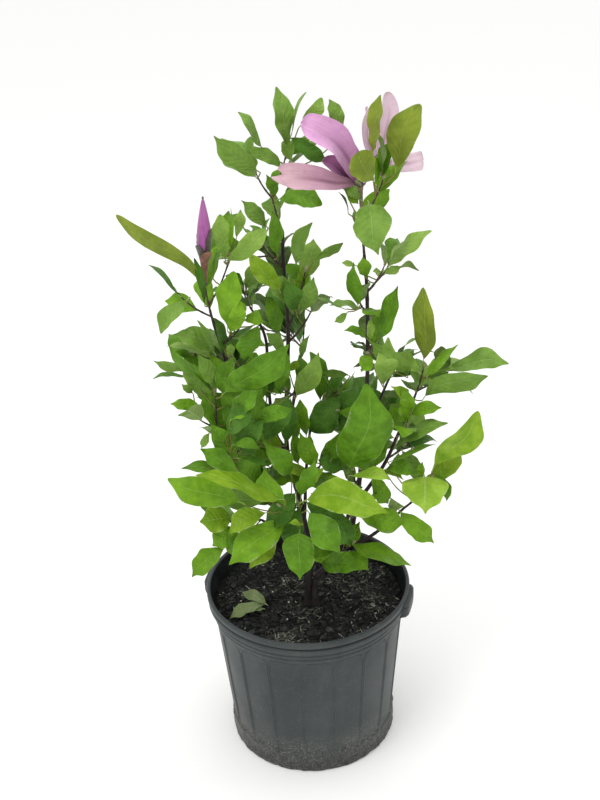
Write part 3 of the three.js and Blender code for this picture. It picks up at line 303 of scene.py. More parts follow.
# Leafy shoots: name, the limb that bears it, the height where it leaves that limb, its tip, length of its
# leaves, number of leaves by rule, turn of the first, seed, spray tone, forks as (place along, end), and the
# leaves that show, each as root, tip, width, bow, tone, sharpness of its tip and rise of its outline
# Each shown leaf's tone matches how light or dark it looks: painted light and shade as well as its colour
SHOOTS = [
    ("left_top_leaves", "left_leader", TIP, (-105, -50, 703), 70, 5, 20, 11, 1,
     [(0.5, (-76, -45, 729)), (0.15, (-138, -60, 701))], [
        (-107, -52, 697, -197, -62, 797, 14, 3, 5, 0.3), (-106, -56, 679, -114, -60, 741, 9, 0, 4),
        (-95, -52, 712, -78, -56, 752, 10, 0, 3), (-79, -46, 729, -82, -40, 785, 22, -2, 6),
        (-74, -45, 743, -69, -44, 794, 7, 2), (-81, -50, 731, -30, -66, 774, 18, 5, 6),
        (-66, -30, 750, -59, -26, 785, 13, 0, 6), (-132, -60, 694, -168, -50, 731, 9, -2, 4),
        (-122, -62, 694, -158, -82, 658, 21, 2, 7),
    ]),
    ("left_inner_leaves", "left_leader", 622, (-63, -62, 660), 66, 6, 80, 12, 1, (), [
        (-47, -40, 537, -53, -34, 607, 27, 0, 3), (-30, -36, 548, -18, -30, 613, 20, 2, 3),
        (-82, -60, 648, -69, -68, 726, 29, -3, 2), (-80, -64, 646, -64, -76, 693, 19, 2, 2),
        (-63, -60, 659, -39, -66, 660, 18, -4, 2), (-44, -58, 656, -65, -72, 614, 26, 0, 3),
        (-83, -50, 609, -79, -48, 627, 10, 0, 6), (-87, -40, 605, -99, -38, 656, 14, 0, 4),
    ]),
    ("left_outer_leaves", "left_leader", 590, (-103, -56, 628), 62, 5, 200, 13, 1, (), [
        (-98, -56, 614, -146, -70, 651, 26, 7, 7), (-97, -60, 617, -116, -66, 666, 9, 0, 7),
    ]),
    ("left_mid_leaves", "left_mid_bough", TIP, (-102, -62, 568), 76, 8, 140, 14, 0,
     [(0.02, (-131, -75, 549))], [
        (-38, -30, 479, -47, -26, 544, 28, 0, 4), (-20, -20, 466, -12, -10, 530, 22, 0, 4),
        (-42, -30, 536, -32, -16, 598, 25, 0, 4), (-92, -56, 492, -116, -50, 573, 29, 2, 3),
        (-104, -52, 546, -143, -44, 603, 24, 0, 7), (-83, -58, 555, -106, -48, 619, 25, -2, 2),
        (-93, -60, 507, -71, -48, 588, 32, 0, 3), (-102, -66, 573, -118, -76, 628, 20, 2, 7),
        (-105, -62, 575, -152, -66, 637, 12, -2), (-104, -56, 563, -139, -58, 617, 20, 4),
        (-131, -52, 589, -174, -50, 609, 9, 1, 7), (-131, -50, 584, -178, -48, 583, 10, 4),
        (-129, -58, 566, -142, -60, 581, 10, 0, 7), (-117, -76, 554, -155, -84, 567, 16, 2),
        (-111, -76, 522, -123, -84, 504, 10, 0, 6), (-94, -72, 569, -10, -96, 644, 31, 4, 3),
        (-94, -66, 565, -76, -70, 619, 24),
    ]),
    ("left_low_leaves", "left_mid_bough", 472, (-94, -88, 498), 80, 8, 30, 15, 0, (), [
        (-68, -66, 503, -43, -58, 574, 27, 0, 3), (-49, -60, 493, -12, -56, 558, 27, 2, 4),
        (-55, -72, 478, -90, -66, 553, 32, -2, 4), (-77, -80, 481, -108, -84, 537, 27, 0, 3),
        (-77, -92, 472, -122, -104, 515, 24, 2), (-82, -88, 467, -148, -96, 484, 17, 2),
        (-82, -92, 546, -44, -104, 593, 24, -4, 3), (-91, -94, 526, -54, -104, 575, 26, 0, 4),
        (-84, -104, 551, -61, -110, 560, 11, -5, 2), (-59, -90, 538, -9, -100, 561, 18, -2, 3),
        (-80, -90, 506, -44, -98, 547, 29, 0, 4), (-84, -102, 517, -50, -112, 515, 13, -4, 3),
        (-78, -98, 497, -39, -106, 486, 10, -4, 4),
    ]),
    ("back_left_leaves", "back_left_bough", TIP, (-94, 68, 538), 70, 5, 60, 16, 2, (), ()),
    ("left_upper_leaves", "middle_leader", 689, (-45, 20, 738), 66, 6, 100, 17, 1, (), [
        (-29, 6, 750, -59, 0, 788, 20, -2, 7), (-19, 4, 715, -23, -4, 774, 19, 0, 3),
    ]),
    ("crown_top_leaves", "middle_leader", TIP, (-23, 30, 781), 70, 5, 10, 18, 1,
     [(0.96, (-40, 28, 810)), (0.96, (-2, 35, 839))], [
        (-35, 22, 813, -86, 8, 863, 21, -5, 7), (-29, 22, 841, -57, 20, 886, 16, -2, 7),
        (-9, 24, 814, -46, 20, 845, 15, 2, 7), (-1, 30, 836, -12, 34, 910, 24, -3, 7),
        (2, 34, 851, 23, 40, 901, 6, 0, 7), (12, 40, 859, 41, 50, 891, 14, 2, 6),
        (59, 44, 842, 49, 50, 889, 20, 2, 7), (-2, 30, 852, 45, 16, 824, 13, 2, 4),
        (2, 28, 822, -7, 34, 846, 16, 0, 7), (-19, 10, 782, 36, -8, 781, 28, -4, 3),
        (-18, 20, 782, -28, 14, 813, 14, 0, 3),
    ]),
    ("middle_upper_leaves", "middle_leader", 606, (13, 15, 689), 68, 7, 250, 19, 1, (), [
        (1, 14, 696, 24, 8, 754, 22, -2, 7), (23, 12, 702, 60, 10, 726, 8, 1),
        (-18, -10, 673, -51, -24, 728, 21, 0, 1, 0.3), (3, 6, 682, -8, 0, 706, 17, 0, 3),
        (0, -4, 644, -10, -10, 688, 24, 0, 4), (5, 0, 641, 23, -8, 691, 19, 4, 7),
    ]),
    ("middle_right_leaves", "middle_leader", 585, (24, 35, 639), 62, 5, 300, 20, 1, (), [
        (5, 30, 643, 15, 24, 694, 19, 0, 2), (2, 34, 620, -7, 26, 669, 19, 0, 7),
    ]),
    ("back_middle_leaves", "back_middle_bough", TIP, (-67, 75, 644), 66, 5, 90, 21, 2, (), [
        (-63, 75, 644, -40, 66, 687, 22, 0, 7), (-63, 75, 640, -88, 84, 662, 21, 0, 4),
    ]),
    ("middle_leaves", "middle_leader", 506, (0, 22, 532), 66, 8, 170, 22, 0, (), [
        (-17, 0, 589, -38, -6, 619, 17, 0, 7), (-21, 10, 608, -37, 4, 667, 21, 0, 3),
        (2, 20, 568, 16, 22, 602, 11, 0, 7), (-6, 10, 518, 26, 4, 585, 28, 3, 6),
        (-12, 16, 554, 1, 18, 569, 11), (-18, -4, 597, -24, -10, 535, 19, 0, 3),
    ]),
    ("centre_leaves", "centre_bough", TIP, (30, 36, 503), 70, 9, 220, 23, 2, (), [
        (66, 30, 537, 29, 28, 546, 8, 0, 7), (43, 30, 520, 30, 30, 540, 6),
        (56, 24, 515, 13, 6, 471, 40, 0, 4, 0.3),
    ]),
    ("right_top_leaves", "right_leader", TIP, (81, -14, 776), 66, 4, 40, 24, 0, [(0.8, (106, -22, 812))], [
        (87, -40, 794, 96, -72, 739, 44, 0, 7, 0.9, 0.42), (94, -50, 818, 74, -62, 856, 35, -2, 5, 0.1),
        (81, -24, 788, 58, -32, 807, 14, 2, 7), (66, -18, 771, 54, -26, 801, 6, 1, 4),
        (91, -50, 847, 101, -58, 917, 16, 0, 5, 0.5), (119, -30, 821, 145, -44, 902, 36, -4, 5, 0.35),
        (62, -20, 801, 77, -26, 785, 13),
    ]),
    ("right_upper_leaves", "right_leader", 667, (107, -18, 705), 60, 4, 10, 25, 0, (), [
        (105, -24, 700, 161, -34, 752, 23, -6, 6), (104, -22, 701, 127, -28, 708, 11, 4, 6),
        (74, -24, 709, 56, -28, 715, 8, 0, 6), (85, -22, 692, 81, -26, 720, 17),
    ]),
    ("right_inner_leaves", "right_leader", 641, (76, -27, 665), 58, 4, 120, 26, 1, (), [
        (74, -30, 657, 70, -34, 718, 17, 0, 3), (61, -24, 654, 21, -14, 666, 7, -2),
        (62, -28, 652, 45, -34, 642, 10, -2),
    ]),
    ("right_side_leaves", "right_leader", 590, (99, -21, 612), 66, 5, 200, 27, 1, (), [
        (96, -24, 607, 122, -32, 685, 24, 4, 3), (104, -36, 551, 109, -44, 624, 27, 0, 6),
        (134, -32, 562, 84, -50, 625, 15), (85, -44, 622, 55, -48, 636, 12, 4),
        (89, -24, 610, 88, -24, 638, 10, 0, 6),
    ]),
    ("front_right_leaves", "right_leader", 382, (64, -30, 432), 84, 8, 60, 28, 0, (), [
        (56, -40, 433, 81, -62, 572, 62, 7, 3, 0.5, 0.6),
    ]),
    ("right_bough_leaves", "right_bough", TIP, (154, -28, 574), 74, 6, 20, 29, 1, (), [
        (152, -30, 579, 152, -34, 682, 25, 2, 5), (150, -32, 567, 122, -26, 595, 18, -1, 6),
        (154, -32, 564, 193, -46, 611, 17, 4), (157, -30, 561, 182, -50, 577, 11, 2),
        (175, -26, 565, 257, -40, 579, 29, -4, 7, 0.7), (152, -34, 531, 228, -62, 575, 22, -5, 7),
    ]),
    ("right_middle_leaves", "right_bough", 477, (130, -44, 500), 62, 7, 260, 30, 0, (), [
        (114, -50, 471, 180, -70, 517, 21, -4, 7), (140, -48, 535, 110, -58, 565, 16),
        (135, -50, 522, 123, -62, 564, 17), (134, -48, 516, 173, -60, 533, 18, -4),
        (132, -46, 505, 117, -54, 542, 16, 0, 2),
    ]),
    ("right_lower_leaves", "right_bough", 440, (130, -10, 452), 62, 7, 310, 31, 2, (), [
        (130, -10, 452, 178, 6, 446, 13), (127, -11, 450, 150, -52, 420, 22),
    ]),
    ("low_right_leaves", "low_right_bough", TIP, (163, -40, 421), 76, 7, 140, 32, 0, (), [
        (85, -40, 431, 108, -46, 389, 23, 0, 2), (102, -50, 442, 140, -66, 443, 21, -6),
        (153, -48, 433, 150, -96, 403, 58, 0, 0, 0.9, 0.42), (165, -40, 430, 182, -52, 393, 12, -6, 3),
        (147, -46, 426, 151, -50, 452, 10), (164, -44, 434, 217, -62, 528, 36, 1, 1, 0.4, 1.1),
        (107, -52, 455, 166, -66, 486, 10, 2),
    ]),
    ("front_low_right_leaves", "low_right_bough", 341, (112, -42, 372), 72, 7, 90, 33, 0, (), [
        (120, -50, 384, 165, -68, 340, 28, 3, 2, 0.9),
    ]),
    ("low_leaves", "right_low_limb", 290, (62, -28, 318), 70, 6, 210, 34, 0, (), [
        (33, -44, 394, 60, -50, 329, 29, 0, 4), (15, -48, 306, 70, -84, 313, 31, 0, 3, 0.9),
        (54, -42, 331, 136, -66, 304, 26, -1, 2, 0.9), (61, -44, 381, 132, -60, 369, 34, 4, 2),
    ]),
    ("front_leaves", "front_low_stem", TIP, (-9, -67, 406), 92, 8, 120, 35, 0, [(0.7, (-30, -84, 416))], [
        (-5, -76, 416, -52, -86, 392, 30, 0, 4), (-3, -72, 409, -27, -84, 356, 28, 0, 4),
        (0, -70, 415, 36, -78, 377, 30, 0, 4), (-10, -70, 428, -31, -86, 409, 23, 0, 4),
        (-43, -66, 415, -109, -78, 438, 28, -3, 7), (-53, -60, 418, -87, -66, 487, 30, 0, 3),
        (-73, -100, 431, -164, -110, 479, 38, 0, 2, 0.6), (-25, -104, 439, -127, -140, 500, 30, 2, 1, 0.6),
        (-44, -100, 418, -94, -122, 404, 27, 6, 1), (-83, -100, 393, -90, -112, 362, 25, 0, 3),
        (-19, -84, 397, -97, -128, 362, 40, 0, 2, 0.8), (-7, -96, 389, -10, -134, 338, 41, 0, 3, 1, 0.5),
        (2, -86, 411, 41, -124, 371, 37, -2, 3, 0.7), (-3, -96, 396, -21, -104, 404, 8),
        (-14, -74, 452, -47, -92, 517, 27, 2), (-4, -76, 422, 16, -84, 484, 21, 0, 3),
        (-6, -84, 420, 103, -120, 422, 44, -15, 1, 0.8, 0.7),
    ]),
    ("low_left_leaves", "low_left_bough", TIP, (-79, -86, 410), 86, 8, 230, 36, 0, (), [
        (-82, -88, 394, -118, -100, 372, 28, 0, 2), (-90, -84, 404, -131, -100, 409, 37, 0, 1, 0.8),
        (-99, -96, 367, -146, -112, 334, 28, 3, 2, 0.9),
    ]),
    ("back_right_leaves", "back_right_bough", TIP, (128, 56, 548), 66, 5, 50, 37, 2, (), ()),
    ("back_low_left_leaves", "back_low_left_bough", TIP, (-72, 96, 400), 86, 5, 70, 38, 2, (), ()),
    ("back_low_right_leaves", "back_low_right_bough", TIP, (72, 110, 436), 86, 5, 150, 39, 2, (), ()),
    ("back_centre_leaves", "back_centre_bough", TIP, (10, 126, 566), 84, 6, 0, 40, 2, (), ()),
    ("back_leader_leaves", "left_leader", 520, (-86, 4, 566), 72, 5, 130, 41, 2, (), ()),
    ("back_crown_leaves", "middle_leader", 650, (-28, 72, 690), 60, 4, 80, 42, 2, (), ()),
    ("centre_low_leaves", "centre_bough", 398, (30, -4, 436), 70, 9, 40, 44, 0, (), [
        (35, -30, 446, 64, -30, 498, 25, 0, 3), (17, -34, 437, -2, -34, 493, 25, 0, 2),
        (54, -20, 427, 20, -24, 446, 24, 0, 4), (25, -10, 439, 44, -14, 474, 15, 0, 2),
        (12, -6, 437, 11, -6, 477, 13, 0, 2),
    ]),
    ("middle_low_leaves", "middle_leader", 412, (-40, -10, 452), 72, 6, 190, 45, 0, (), [
        (6, 2, 464, 0, 6, 519, 18, 0, 2), (-4, -4, 426, -13, -6, 482, 18), (-6, 0, 462, -13, -4, 521, 17),
    ]),
    ("right_foot_leaves", "right_leader", 338, (52, -34, 378), 76, 9, 260, 46, 0, (), [
        (56, -60, 442, 109, -78, 443, 18, -4, 0),
    ]),
    ("left_foot_leaves", "left_leader", 366, (-52, -58, 420), 72, 9, 300, 47, 0, (), ()),
    ("right_fork_leaves", "right_bough", 400, (92, -46, 442), 70, 6, 100, 48, 0, (), ()),
    ("back_side_leaves", "right_leader", 420, (98, 40, 452), 74, 6, 30, 43, 2, (), ()),
]

# Blooms: a petal follows the points of its line, with its half width at each of them; trim is what its end
# lacks across it
BLOOMS = [
    dict(name="front_bloom", along=1, heart=(80, -17, 804), petals=[
        dict(line=[(73, -22, 819), (66, -34, 841), (52, -48, 864), (31, -62, 882), (15, -70, 894)],
             half=(3, 6, 13, 20, 18, 12), cup=0.3, curl=0.02, blunt=0.9),
        dict(line=[(68, -28, 811), (50, -40, 816), (31, -52, 824), (11, -62, 830), (-6, -70, 835),
                   (-21, -76, 841)],
             half=(3, 5, 10.5, 14.5, 16.5, 16, 13), cup=0.32, curl=0.03, blunt=0.9, round=0.2,
             trim=(0.16, 0.05, 0, 0.07, 0.13, 0.07, 0.08), paints=(2, 3)),
        dict(line=[(65, -21, 817), (50, -24, 831), (36, -28, 838)], half=(3, 9, 11, 7), cup=0.5,
             blunt=0.7, paints=(4, 4)),
        dict(line=[(76, -6, 826), (62, 10, 850), (46, 18, 868)], half=(4, 12, 15, 11), face=(0.4, 0.6, 0.6)),
        dict(line=[(66, -8, 830), (44, -6, 858), (26, -6, 876)], half=(4, 12, 14, 10), face=(0.1, 0.5, 0.8)),
    ]),
    dict(name="back_bloom", along=0.45, heart=(109, 22, 815), petals=[
        dict(line=[(94, 18, 838), (92, 16, 866), (101, 16, 891)], half=(3, 6.5, 7, 5), cup=0.5, blunt=0.6),
        dict(line=[(111, 26, 844), (118, 32, 872), (116, 36, 898)], half=(3, 8, 11, 8), cup=0.4, blunt=0.7),
        dict(line=[(133, 14, 818), (156, 8, 823)], half=(4, 11, 12), cup=0.2, blunt=0.93,
             trim=(0, 0, 0, 0.025, 0.05, 0.01, 0), face=(-0.2, -0.8, 0.6)),
        dict(line=[(104, 52, 842), (96, 82, 868)], half=(3, 12, 10), face=(0, 0.5, 0.8)),
        dict(line=[(122, 48, 838), (134, 74, 860)], half=(3, 12, 10), face=(0.3, 0.4, 0.8)),
    ]),
]
BLOOM_SHOOT = "right_top_leaves"
BUD_SHOOT = "left_top_leaves"
FILAMENT = [(108, 18, 824), (109, 12, 842), (107, 8, 838), (97, 4, 829)]
BUD_TIP = np.array((-99, -55, 810), float)
BUD_RADIUS = 8.8
# Scales on the bud: from and to along it, turn, spread, stand-off at the tip, paint
BUD_SHELLS = [
    (0.16, 0.5, -2.3, 1.2, 1.6, 2), (0.05, 0.44, -1.15, 1.35, 4.0, 4), (0.3, 0.66, -0.5, 0.85, 0.6, 2),
    (0.12, 0.4, 1.9, 1.2, 2.0, 2),
]

# What shows of the crown from the front, on the upright plane through the pot's middle: its edges as
# (height, left, right), and windows of open sky as (across, height, radius)
CROWN_EDGES = np.array([
    (240, -150, 150), (300, -158, 172), (380, -165, 190), (460, -160, 218), (520, -165, 226),
    (570, -182, 240), (620, -178, 200), (680, -165, 158), (740, -190, 160), (790, -115, 155),
    (840, -88, 152), (915, -84, 150),
], float)
SKY_GAPS = [
    (38, 612, 20), (45, 760, 24), (45, 686, 22), (-76, 800, 18), (45, 578, 14), (126, 302, 15),
    (195, 502, 15), (130, 756, 14), (-134, 744, 14), (-48, 800, 12), (137, 662, 14), (-160, 544, 10),
    (-152, 712, 10), (106, 672, 9), (-130, 645, 9), (-134, 694, 9), (185, 600, 10), (-28, 888, 10),
    (-64, 868, 9), (-60, 733, 10), (-70, 703, 9), (34, 634, 16), (133, 785, 13), (130, 619, 15),
    (90, 316, 14), (-144, 323, 15), (127, 702, 8), (56, 224, 14), (-147, 357, 9), (-68, 702, 12),
    (13, 618, 17), (23, 527, 10), (25, 457, 9), (147, 421, 11), (120, 374, 9), (-34, 833, 8),
    (-9, 849, 8), (102, 703, 9), (87, 316, 12), (16, 745, 9),
]

# Tones: name, colour, deeper and paler colour, colour and deeper colour of the underside, slot
TONES = [
    ("bright", "98ba40", "82a62e", "bfd28c", "a4b872", "92a760", "foliage_light"),
    ("fresh", "86a72c", "6d921a", "adc56e", "96ab64", "849a53", "foliage_light"),
    ("middle", "709c1e", "5b8516", "98ba52", "849d58", "718a48", "foliage_mid"),
    ("green", "5e8b1d", "4b7312", "85ab4b", "748e4d", "627c3e", "foliage_mid"),
    ("deep", "4b7522", "3b6116", "6f9545", "627d43", "536c36", "foliage_dark"),
    ("tinged", "7c8d2c", "697b24", "a5ab5e", "929a58", "818548", "foliage_mid"),
    ("pale", "88a94a", "74963a", "b0c684", "9db079", "8a9f68", "foliage_light"),
    ("dull", "73963d", "5f812d", "9dba73", "8ba067", "788e56", "foliage_mid"),
]
UNDER_PALE = "b9cf98"
# Tones that the leaves of each kind of spray draw from, where they have none of their own. The piece of
# the tone at SPRAY_HOME replaces the spray's solid
# Painted light: sprays at the back draw the deeper tones as shade, and those high up the greyer tones as
# sheen
SPRAY_TONES = ((1, 2, 2, 3, 3), (6, 7, 2, 7, 3), (3, 4, 3, 4, 7))
SPRAY_HOME = 2
TONE_SEED = 77


# Vectors and curves

def dice(seed):
    """A repeatable row of numbers from 0 to 1."""
    state = (seed * 7919) % 2147483647

    def roll():
        nonlocal state
        state = (state * 16807) % 2147483647
        return state / 2147483647
    return roll


def scatter(roll, spread):
    return spread * (roll() - 0.5)


def draw(roll, least, span, power=1.0):
    return least + span * roll() ** power


def mix(low, high, share):
    return low + (high - low) * share


def unit(vector):
    return vector / (np.linalg.norm(vector) + 1e-12)


def rotated(vector, axis, angle):
    """Vector turned about a unit axis."""
    cosine, sine = math.cos(angle), math.sin(angle)
    return vector * cosine + np.cross(axis, vector) * sine + axis * np.dot(axis, vector) * (1 - cosine)


def cross_axes(along):
    guide = np.array((0.0, 1.0, 0.0)) if abs(along[2]) > 0.9 else np.array((0.0, 0.0, 1.0))
    side = unit(np.cross(guide, along))
    return side, unit(np.cross(along, side))


def spoke(side, up, angle):
    return side * math.cos(angle) + up * math.sin(angle)


def on_circle(radius, angle):
    return radius * math.cos(angle), radius * math.sin(angle)


def on_disc(roll, reach):
    radius = reach * math.sqrt(roll())
    return on_circle(radius, FULL_TURN * roll())


def steps_of(line):
    return np.linalg.norm(np.diff(line, axis=0), axis=1)


def travel(line):
    """Distance along a line of points at each of them."""
    return np.concatenate([[0], np.cumsum(steps_of(line))])


def hump(share):
    return 4 * share * (1 - share)


def ease(value, low, high):
    share = np.clip((value - low) / (high - low), 0, 1)
    return share * share * (3 - 2 * share)


class Spline:
    """Smooth curve through points."""

    def __init__(self, points):
        self.points = [np.array(point, float) for point in points]

    def at(self, share):
        points = self.points
        place = (len(points) - 1) * min(max(share, 0.0), 1.0)
        first = min(int(place), len(points) - 2)
        weight = place - first
        p1, p2 = points[first], points[first + 1]
        p0 = points[first - 1] if first > 0 else 2 * points[0] - points[1]
        p3 = points[first + 2] if first + 2 < len(points) else 2 * points[-1] - points[-2]
        t0, t1 = 0.5 * (p2 - p0), 0.5 * (p3 - p1)
        square, cube = weight ** 2, weight ** 3
        return (p1 + t0 * weight + (-3 * p1 + 3 * p2 - 2 * t0 - t1) * square
                + (2 * p1 - 2 * p2 + t0 + t1) * cube)

    def tangent(self, share):
        low, high = max(share - 1e-4, 0.0), min(share + 1e-4, 1.0)
        return unit(self.at(high) - self.at(low))

    def row(self, count):
        return np.array([self.at(share) for share in np.linspace(0, 1, count)])

    def length(self, steps=60):
        return float(steps_of(np.array([self.at(step / steps) for step in range(steps + 1)])).sum())


class Bow(Spline):
    """Bowed line of a shoot, which leaves its foot low and turns up toward its tip."""

    def __init__(self, foot, tip):
        foot, tip = np.array(foot, float), np.array(tip, float)
        span = tip - foot
        bend = foot + 0.5 * span + SHOOT_BOW * np.array((span[0], span[1], 0.0))
        bend[2] -= SHOOT_SAG * np.linalg.norm(span)
        self.points = [foot, bend, tip]

    def at(self, share):
        foot, bend, tip = self.points
        return foot * (1 - share) ** 2 + bend * 2 * share * (1 - share) + tip * share ** 2


def foot_on(curve, height):
    """Where a limb or shoot begins: at a height on the curve that bears it, or just past its tip."""
    if height is TIP:
        return curve.at(1) + GAP * curve.tangent(1)
    low, high = 0.0, 1.0
    for _ in range(30):
        middle = (low + high) / 2
        low, high = (middle, high) if curve.at(middle)[2] < height else (low, middle)
    return curve.at(low)


# The crown's space

def seen(points):
    points = np.atleast_2d(points)
    share = EYE[1] / (EYE[1] - points[:, 1])
    return EYE + (points - EYE) * share[:, None]


def inside_crown(points):
    flat = seen(points)
    heights, left, right = CROWN_EDGES.T
    left, right = np.interp(flat[:, 2], heights, left), np.interp(flat[:, 2], heights, right)
    return bool(((flat[:, 2] < heights[-1]) & (flat[:, 0] > left) & (flat[:, 0] < right)).all())


def in_sky_gap(points):
    flat = seen(points)
    return any(
        (np.hypot(flat[:, 0] - across, flat[:, 2] - height) < radius).any()
        for across, height, radius in SKY_GAPS
    )


def nearness(points, others):
    return float(np.linalg.norm(np.atleast_2d(points)[:, None, :] - others[None, :, :], axis=2).min())


def branch_off(stem, turn, opening):
    return spoke(stem, spoke(*cross_axes(stem), turn), opening)


# Leaves as places: root, tip and the way the face looks

def leaf_frame(leaf):
    span = leaf["tip"] - leaf["root"]
    length = float(np.linalg.norm(span))
    along = span / length
    up = unit(leaf["face"] - along * np.dot(leaf["face"], along))
    return span, length, up, np.cross(along, up)


def spots(leaf, start=0.0):
    """Points over the blade of a leaf from a share of its length on."""
    span, length, up, side = leaf_frame(leaf)
    found = []
    for step in range(1, SPOT_STEPS + 1):
        share = step / SPOT_STEPS
        if share < start:
            continue
        reach = SPOT_REACH * leaf["width"] * length * math.sin(math.pi * share) / 2
        centre = leaf["root"] + span * share + up * leaf["arch"] * length * hump(share)
        centre = centre + side * leaf["bow"] * length * hump(share)
        found += [centre, centre + side * reach + up * reach * LEAF_FOLD,
                  centre - side * reach + up * reach * LEAF_FOLD]
    return np.array(found)


def seen_leaf(number, x0, y0, z0, x1, y1, z1, width, bow=0.0, tone=None, sharp=None, rise=LEAF_RISE):
    """Leaf by its place and the width that shows: a narrow one is turned partly edge-on."""
    root, tip = np.array((x0, y0, z0), float), np.array((x1, y1, z1), float)
    length = float(np.linalg.norm(tip - root))
    full = min(max(width, SLIMMEST_LEAF * length), EDGE_GAIN * width)
    lean = math.acos(min(1.0, width / full)) * (1 if number % 2 else -1)
    face = rotated(TO_FRONT, unit(tip - root), lean)
    bow = (bow / length - ARCH_LEAN * LEAF_ARCH * math.sin(lean)) / math.cos(lean)
    return dict(root=root, tip=tip, width=full / length, face=face, arch=LEAF_ARCH, bow=bow, tone=tone,
                sharp=sharp, rise=rise, calm=math.cos(lean) ** CALM_POWER, shows=width / 2)


def stalk_to(shoot, root):
    """Finer twig from the nearest wood of a shoot to a leaf."""
    near = [(float(np.linalg.norm(curve.at(along) - root)), part, along)
            for part, curve in enumerate(shoot["parts"]) for along in np.linspace(0.05, 1, STALK_TRIES)]
    away, part, along = min(near)
    curve = shoot["parts"][part]
    foot = curve.at(max(0.02, along - STALK_BACK * away / curve.length()))
    return Spline([foot, mix(foot, root, STALK_BEND) - np.array((0, 0, STALK_SAG * away)), root])


def rule_leaf(shoot, curve, along, number, roll, size):
    stem = curve.tangent(along)
    turn = math.radians(shoot["turn"] + GOLDEN_TURN * number + scatter(roll, TURN_SCATTER))
    opening = math.radians(mix(OPEN_AT_FOOT, OPEN_AT_TIP, along) + scatter(roll, OPEN_SCATTER))
    aim = branch_off(stem, turn, opening)
    aim[2] -= DROOP * roll()
    shortening = 1 + LEAF_GAIN - LEAF_LOSS * abs(along - LARGEST_LEAF_AT)
    length = size * shortening * draw(roll, *LENGTHS)
    root = curve.at(along)
    aim = unit(aim)
    face = rotated(stem + np.array((0, 0, FACE_LIFT)), aim, math.radians(scatter(roll, ROLL_SCATTER)))
    width = LEAF_WIDTH + scatter(roll, WIDTH_SCATTER)
    arch = LEAF_ARCH * (LEAST_ARCH + roll())
    return dict(root=root, tip=root + aim * length, width=width, face=face, arch=arch, bow=0.0)


# The plant's plan: limbs, shoots, blooms, then leaves where they fit

def line_of(parts):
    return np.array([curve.at(along) for curve in parts for along in LINE_STOPS])


limbs = {name: Spline(points) for name, _, points in TRUNK_STEMS}
for name, bearer, height, _, points in LIMBS:
    limbs[name] = Spline([foot_on(limbs[bearer], height), *points])

shoots = {}
for name, limb, height, tip, size, rule, turn, seed, tone, forks, leaves in SHOOTS:
    main = Bow(foot_on(limbs[limb], height), tip)
    parts = [main, *(Bow(main.at(along), end) for along, end in forks)]
    shoots[name] = dict(size=size, rule=rule, turn=turn, seed=seed, tone=tone, leaves=leaves,
                        parts=parts, line=line_of(parts), stalks=[], laid=[], spots=[])

wood_spots = np.array([
    limbs[name].at(step / WOOD_SPOTS) for name, *_ in LIMBS for step in range(WOOD_SPOTS + 1)
])
bud_foot = shoots[BUD_SHOOT]["parts"][0].at(1)
bloom_lines = [(bloom["heart"], petal["line"][-1]) for bloom in BLOOMS for petal in bloom["petals"]]
bloom_spots = np.array([
    mix(np.array(root, float), np.array(tip, float), share)
    for root, tip in [*bloom_lines, (bud_foot, BUD_TIP)] for share in PETAL_STOPS
])


def lay(shoot, leaf):
    shoot["laid"].append(leaf)
    shoot["spots"].append(spots(leaf))


def others_of(shoot):
    return [other for other in shoots.values() if other is not shoot]


def shown_marks(leaf):
    """Spots along the middle of a measured leaf as the photo sees it, with their depth and half width."""
    span, length, _, side = leaf_frame(leaf)
    line = np.array([leaf["root"] + span * share + side * leaf["bow"] * length * hump(share)
                     for share in SHOWN_STOPS])
    reach = [SHOWN_REACH * leaf["shows"] * math.sin(math.pi * share) for share in SHOWN_STOPS]
    flat = seen(line)
    return np.column_stack((flat[:, 0], flat[:, 2], line[:, 1], reach))


def hides_shown(points):
    flat = seen(points)
    away = np.hypot(flat[:, None, 0] - shown[None, :, 0], flat[:, None, 2] - shown[None, :, 1])
    return bool(((away < shown[:, 3]) & (points[:, None, 1] < shown[:, 2])).any())


def has_room(shoot, leaf, own_clearance=OWN_CLEARANCE, clearance=LEAF_CLEARANCE):
    own = spots(leaf, ROOT_SHARE)
    middle = (leaf["root"] + leaf["tip"]) / 2
    home = nearness(middle, shoot["line"])
    if leaf["tip"][2] <= LOWEST_LEAF or not inside_crown(own) or in_sky_gap(own) or hides_shown(own):
        return False
    if nearness(own, wood_spots) <= CLEARANCE or nearness(own, bloom_spots) <= BLOOM_CLEARANCE:
        return False
    if any(nearness(own, laid) <= own_clearance for laid in shoot["spots"]):
        return False
    for other in others_of(shoot):
        if nearness(middle, other["line"]) <= home or nearness(own, other["line"]) <= CLEARANCE:
            return False
        if any(nearness(own, laid) <= clearance for laid in other["spots"]):
            return False
    return True


def rule_twig(shoot):
    """Side twig of a shoot without forks, where there is room for one."""
    roll = dice(shoot["seed"] + TWIG_SEED)
    main = shoot["parts"][0]
    foot, stem = main.at(TWIG_ALONG), main.tangent(TWIG_ALONG)
    for step in range(TWIG_TRIES):
        turn = math.radians(shoot["turn"] + GOLDEN_TURN * step + scatter(roll, TURN_SCATTER))
        aim = branch_off(stem, turn, math.radians(TWIG_OPEN))
        curve = Bow(foot, foot + aim * TWIG_SHARE * shoot["size"])
        points = line_of([curve])
        lines = [wood_spots, *(other["line"] for other in others_of(shoot))]
        clear = all(nearness(points, line) > TWIG_CLEARANCE for line in lines)
        if clear and inside_crown(points) and not in_sky_gap(points):
            return [curve]
    return []


def lay_by_rule(shoot, seed, counts, first, last, shift, size, *clearances):
    """Leaves that follow the rule along each part of a shoot, where they have room."""
    roll, number = dice(shoot["seed"] + seed), shift
    for curve, count in zip(shoot["parts"], counts):
        for step in range(1, count + 1):
            leaf = rule_leaf(shoot, curve, mix(first, last, step / count), number, roll, size)
            number += 1
            if has_room(shoot, leaf, *clearances):
                lay(shoot, leaf)


